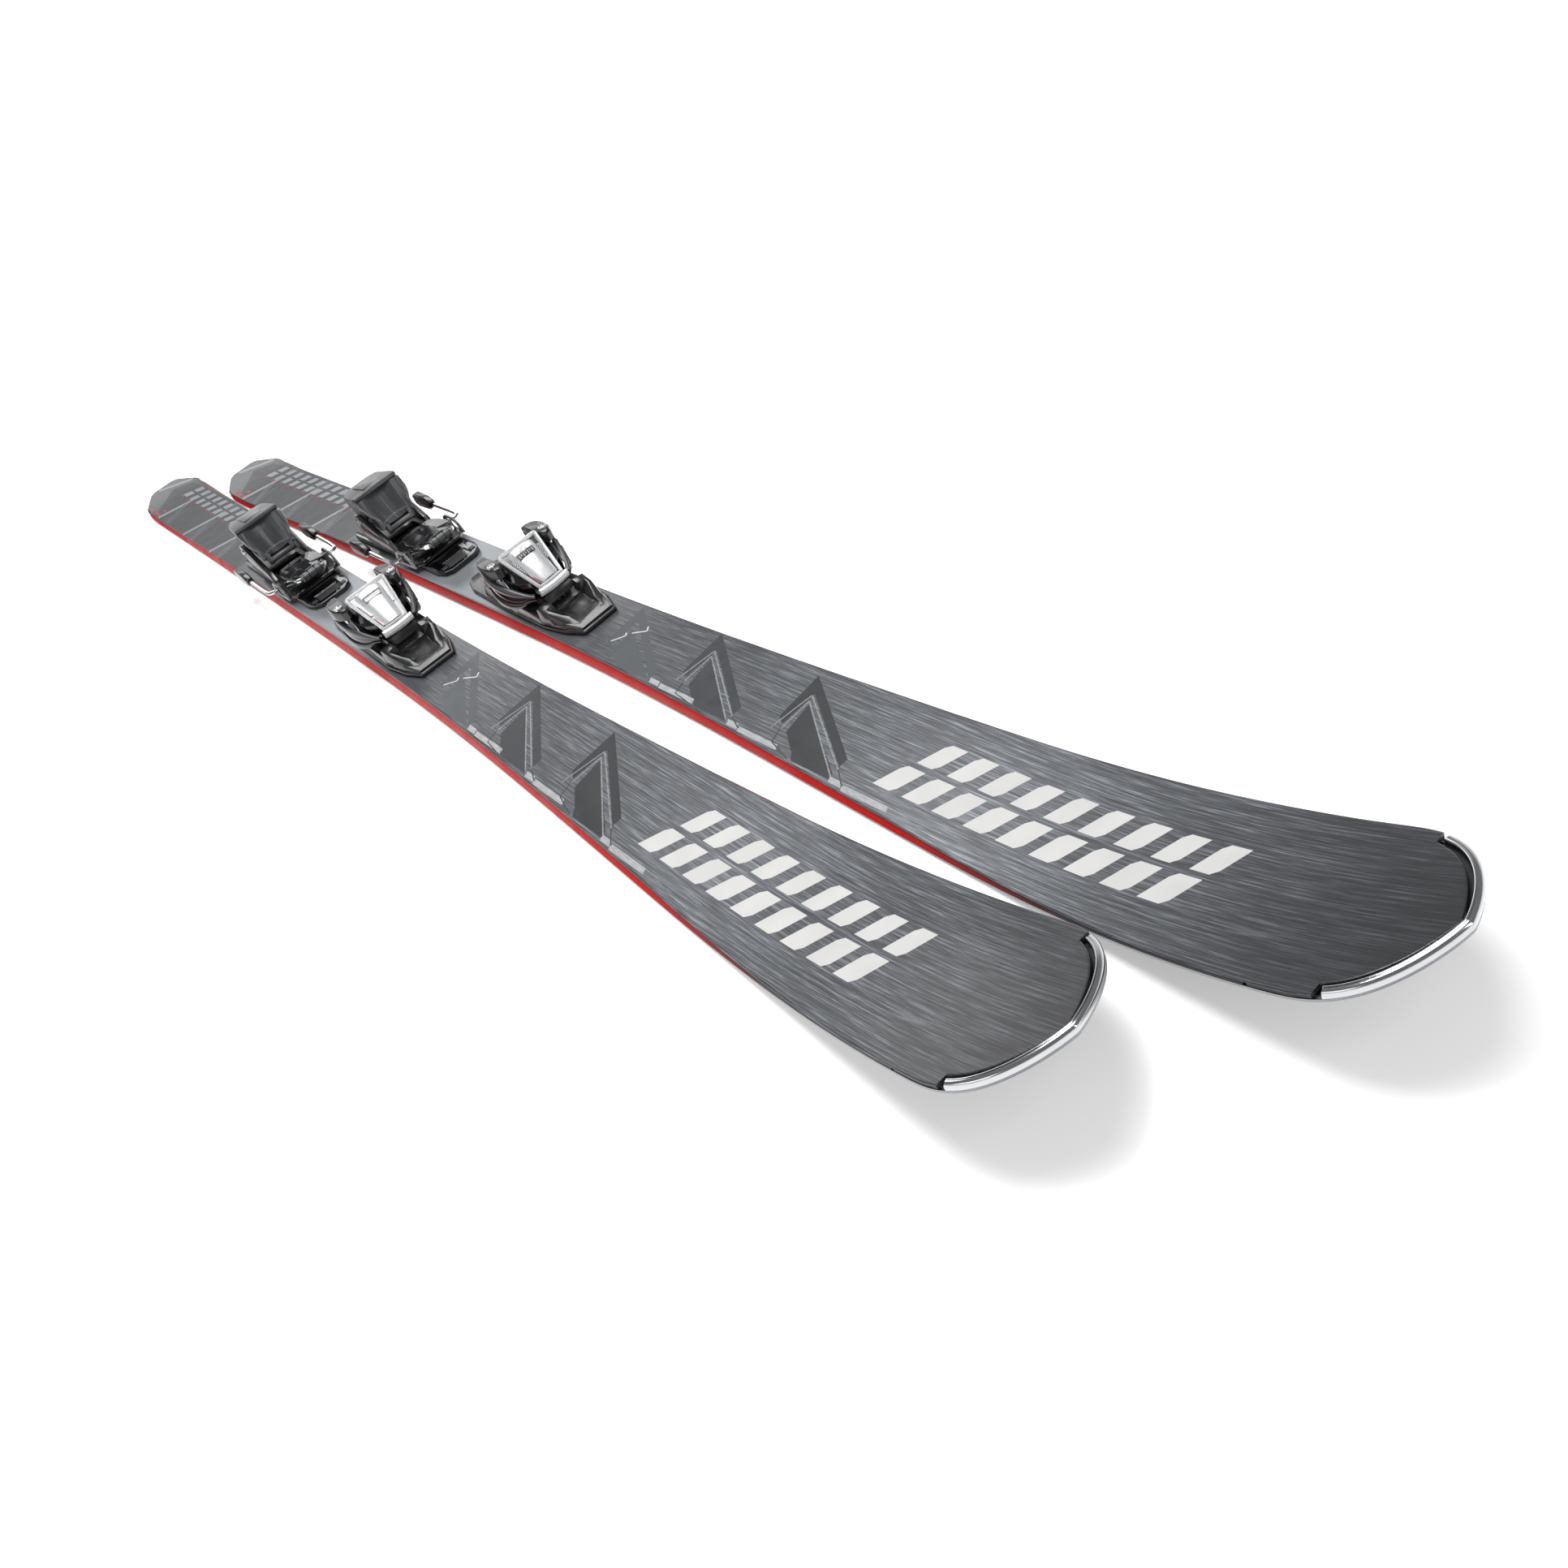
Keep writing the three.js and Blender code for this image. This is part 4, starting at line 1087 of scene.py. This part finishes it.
def studio():
    """A pale floor that runs into a bright horizon, under a dimmer ceiling with soft lights."""
    world = bpy.data.worlds.new("studio")
    world.use_nodes = True
    tree = world.node_tree
    direction = tree.nodes.new("ShaderNodeTexCoord").outputs["Generated"]
    height = tree.nodes.new("ShaderNodeSeparateXYZ")
    tree.links.new(direction, height.inputs[0])
    fade = tree.nodes.new("ShaderNodeMapRange")
    fade.interpolation_type = "SMOOTHSTEP"
    for socket, value in zip(("From Min", "From Max", "To Min", "To Max"), (0.12, 0.3, 1.0, 0.22)):
        fade.inputs[socket].default_value = value
    tree.links.new(height.outputs["Z"], fade.inputs["Value"])
    tree.links.new(fade.outputs[0], tree.nodes["Background"].inputs["Strength"])
    tree.nodes["Background"].inputs["Color"].default_value = (1, 1, 1, 1)
    bpy.context.scene.world = world
    bpy.context.scene.view_settings.view_transform = "Standard"

    mesh = bpy.data.meshes.new("floor")
    mesh.from_pydata([(-60, -60, 0), (60, -60, 0), (60, 60, 0), (-60, 60, 0)], [], [(0, 1, 2, 3)])
    mesh.materials.append(floor_finish("right"))
    floor = bpy.data.objects.new("floor", mesh)
    bpy.context.scene.collection.objects.link(floor)
    floor.location.z = -0.0003

    sun = bpy.data.lights.new("soft_key", "SUN")
    sun.energy = 1.5
    sun.angle = math.radians(30)
    key = bpy.data.objects.new("soft_key", sun)
    bpy.context.scene.collection.objects.link(key)
    key.rotation_mode = "QUATERNION"
    key.rotation_quaternion = Vector((0.42, -0.22, -0.9)).to_track_quat("-Z", "Y")

    area_light("back_panel", (-2.2, 0.35, 1.02), (1.3, 0.55), 5.5)
    area_light("left_panel", (0.2, -2.0, 1.1), (1.8, 0.7), 7)
    area_light("front_strip", (1.9, 0.6, 1.2), (0.3, 1.4), 5)
    area_light("top_panel", (0.14, 0.16, 1.2), (0.45, 0.45), 9, (-0.1, 0.0, 0.0))


def camera():
    """The camera from its place, its two angles and its roll."""
    a, e, r = CAMERA_AZIMUTH, CAMERA_ELEVATION, CAMERA_ROLL
    back = Vector((math.sin(a) * math.cos(e), -math.cos(a) * math.cos(e), math.sin(e)))
    level = Vector((math.cos(a), math.sin(a), 0.0))
    rise = back.cross(level)
    right = level * math.cos(r) + rise * math.sin(r)
    up = rise * math.cos(r) - level * math.sin(r)
    made = bpy.data.objects.new("camera", bpy.data.cameras.new("camera"))
    bpy.context.scene.collection.objects.link(made)
    made.data.sensor_width = 36.0
    made.data.lens = CAMERA_LENS
    turn = Matrix((right, up, back)).transposed().to_4x4()
    made.matrix_world = Matrix.Translation(CAMERA_AT) @ turn
    bpy.context.scene.camera = made


# ---------------------------------------------------- assembly

for side in SIDES:
    topsheet(side)
    sidewall(side, 1, "left")
    sidewall(side, -1, "right")
    steel_edge(side)
    tip_guard(side)
    running_base(side)
    chevrons(side)
    front_motif(side)
    tail_graphics(side)
    small_mark(side)
    toe_frame(side)
    toe_panel(side)
    toe_cheeks(side)
    heel_rim(side)
    brake_treadle(side)
    heel_loops(side)
    track_scale(side)
    for hand, label in ((1, "left"), (-1, "right")):
        toe_wing(side, hand, label)
        toe_rivet(side, hand, label)
    for node, (finish, rounding) in CAD_FINISHES.items():
        dress_node(side, node, finish, rounding)

studio()
camera()
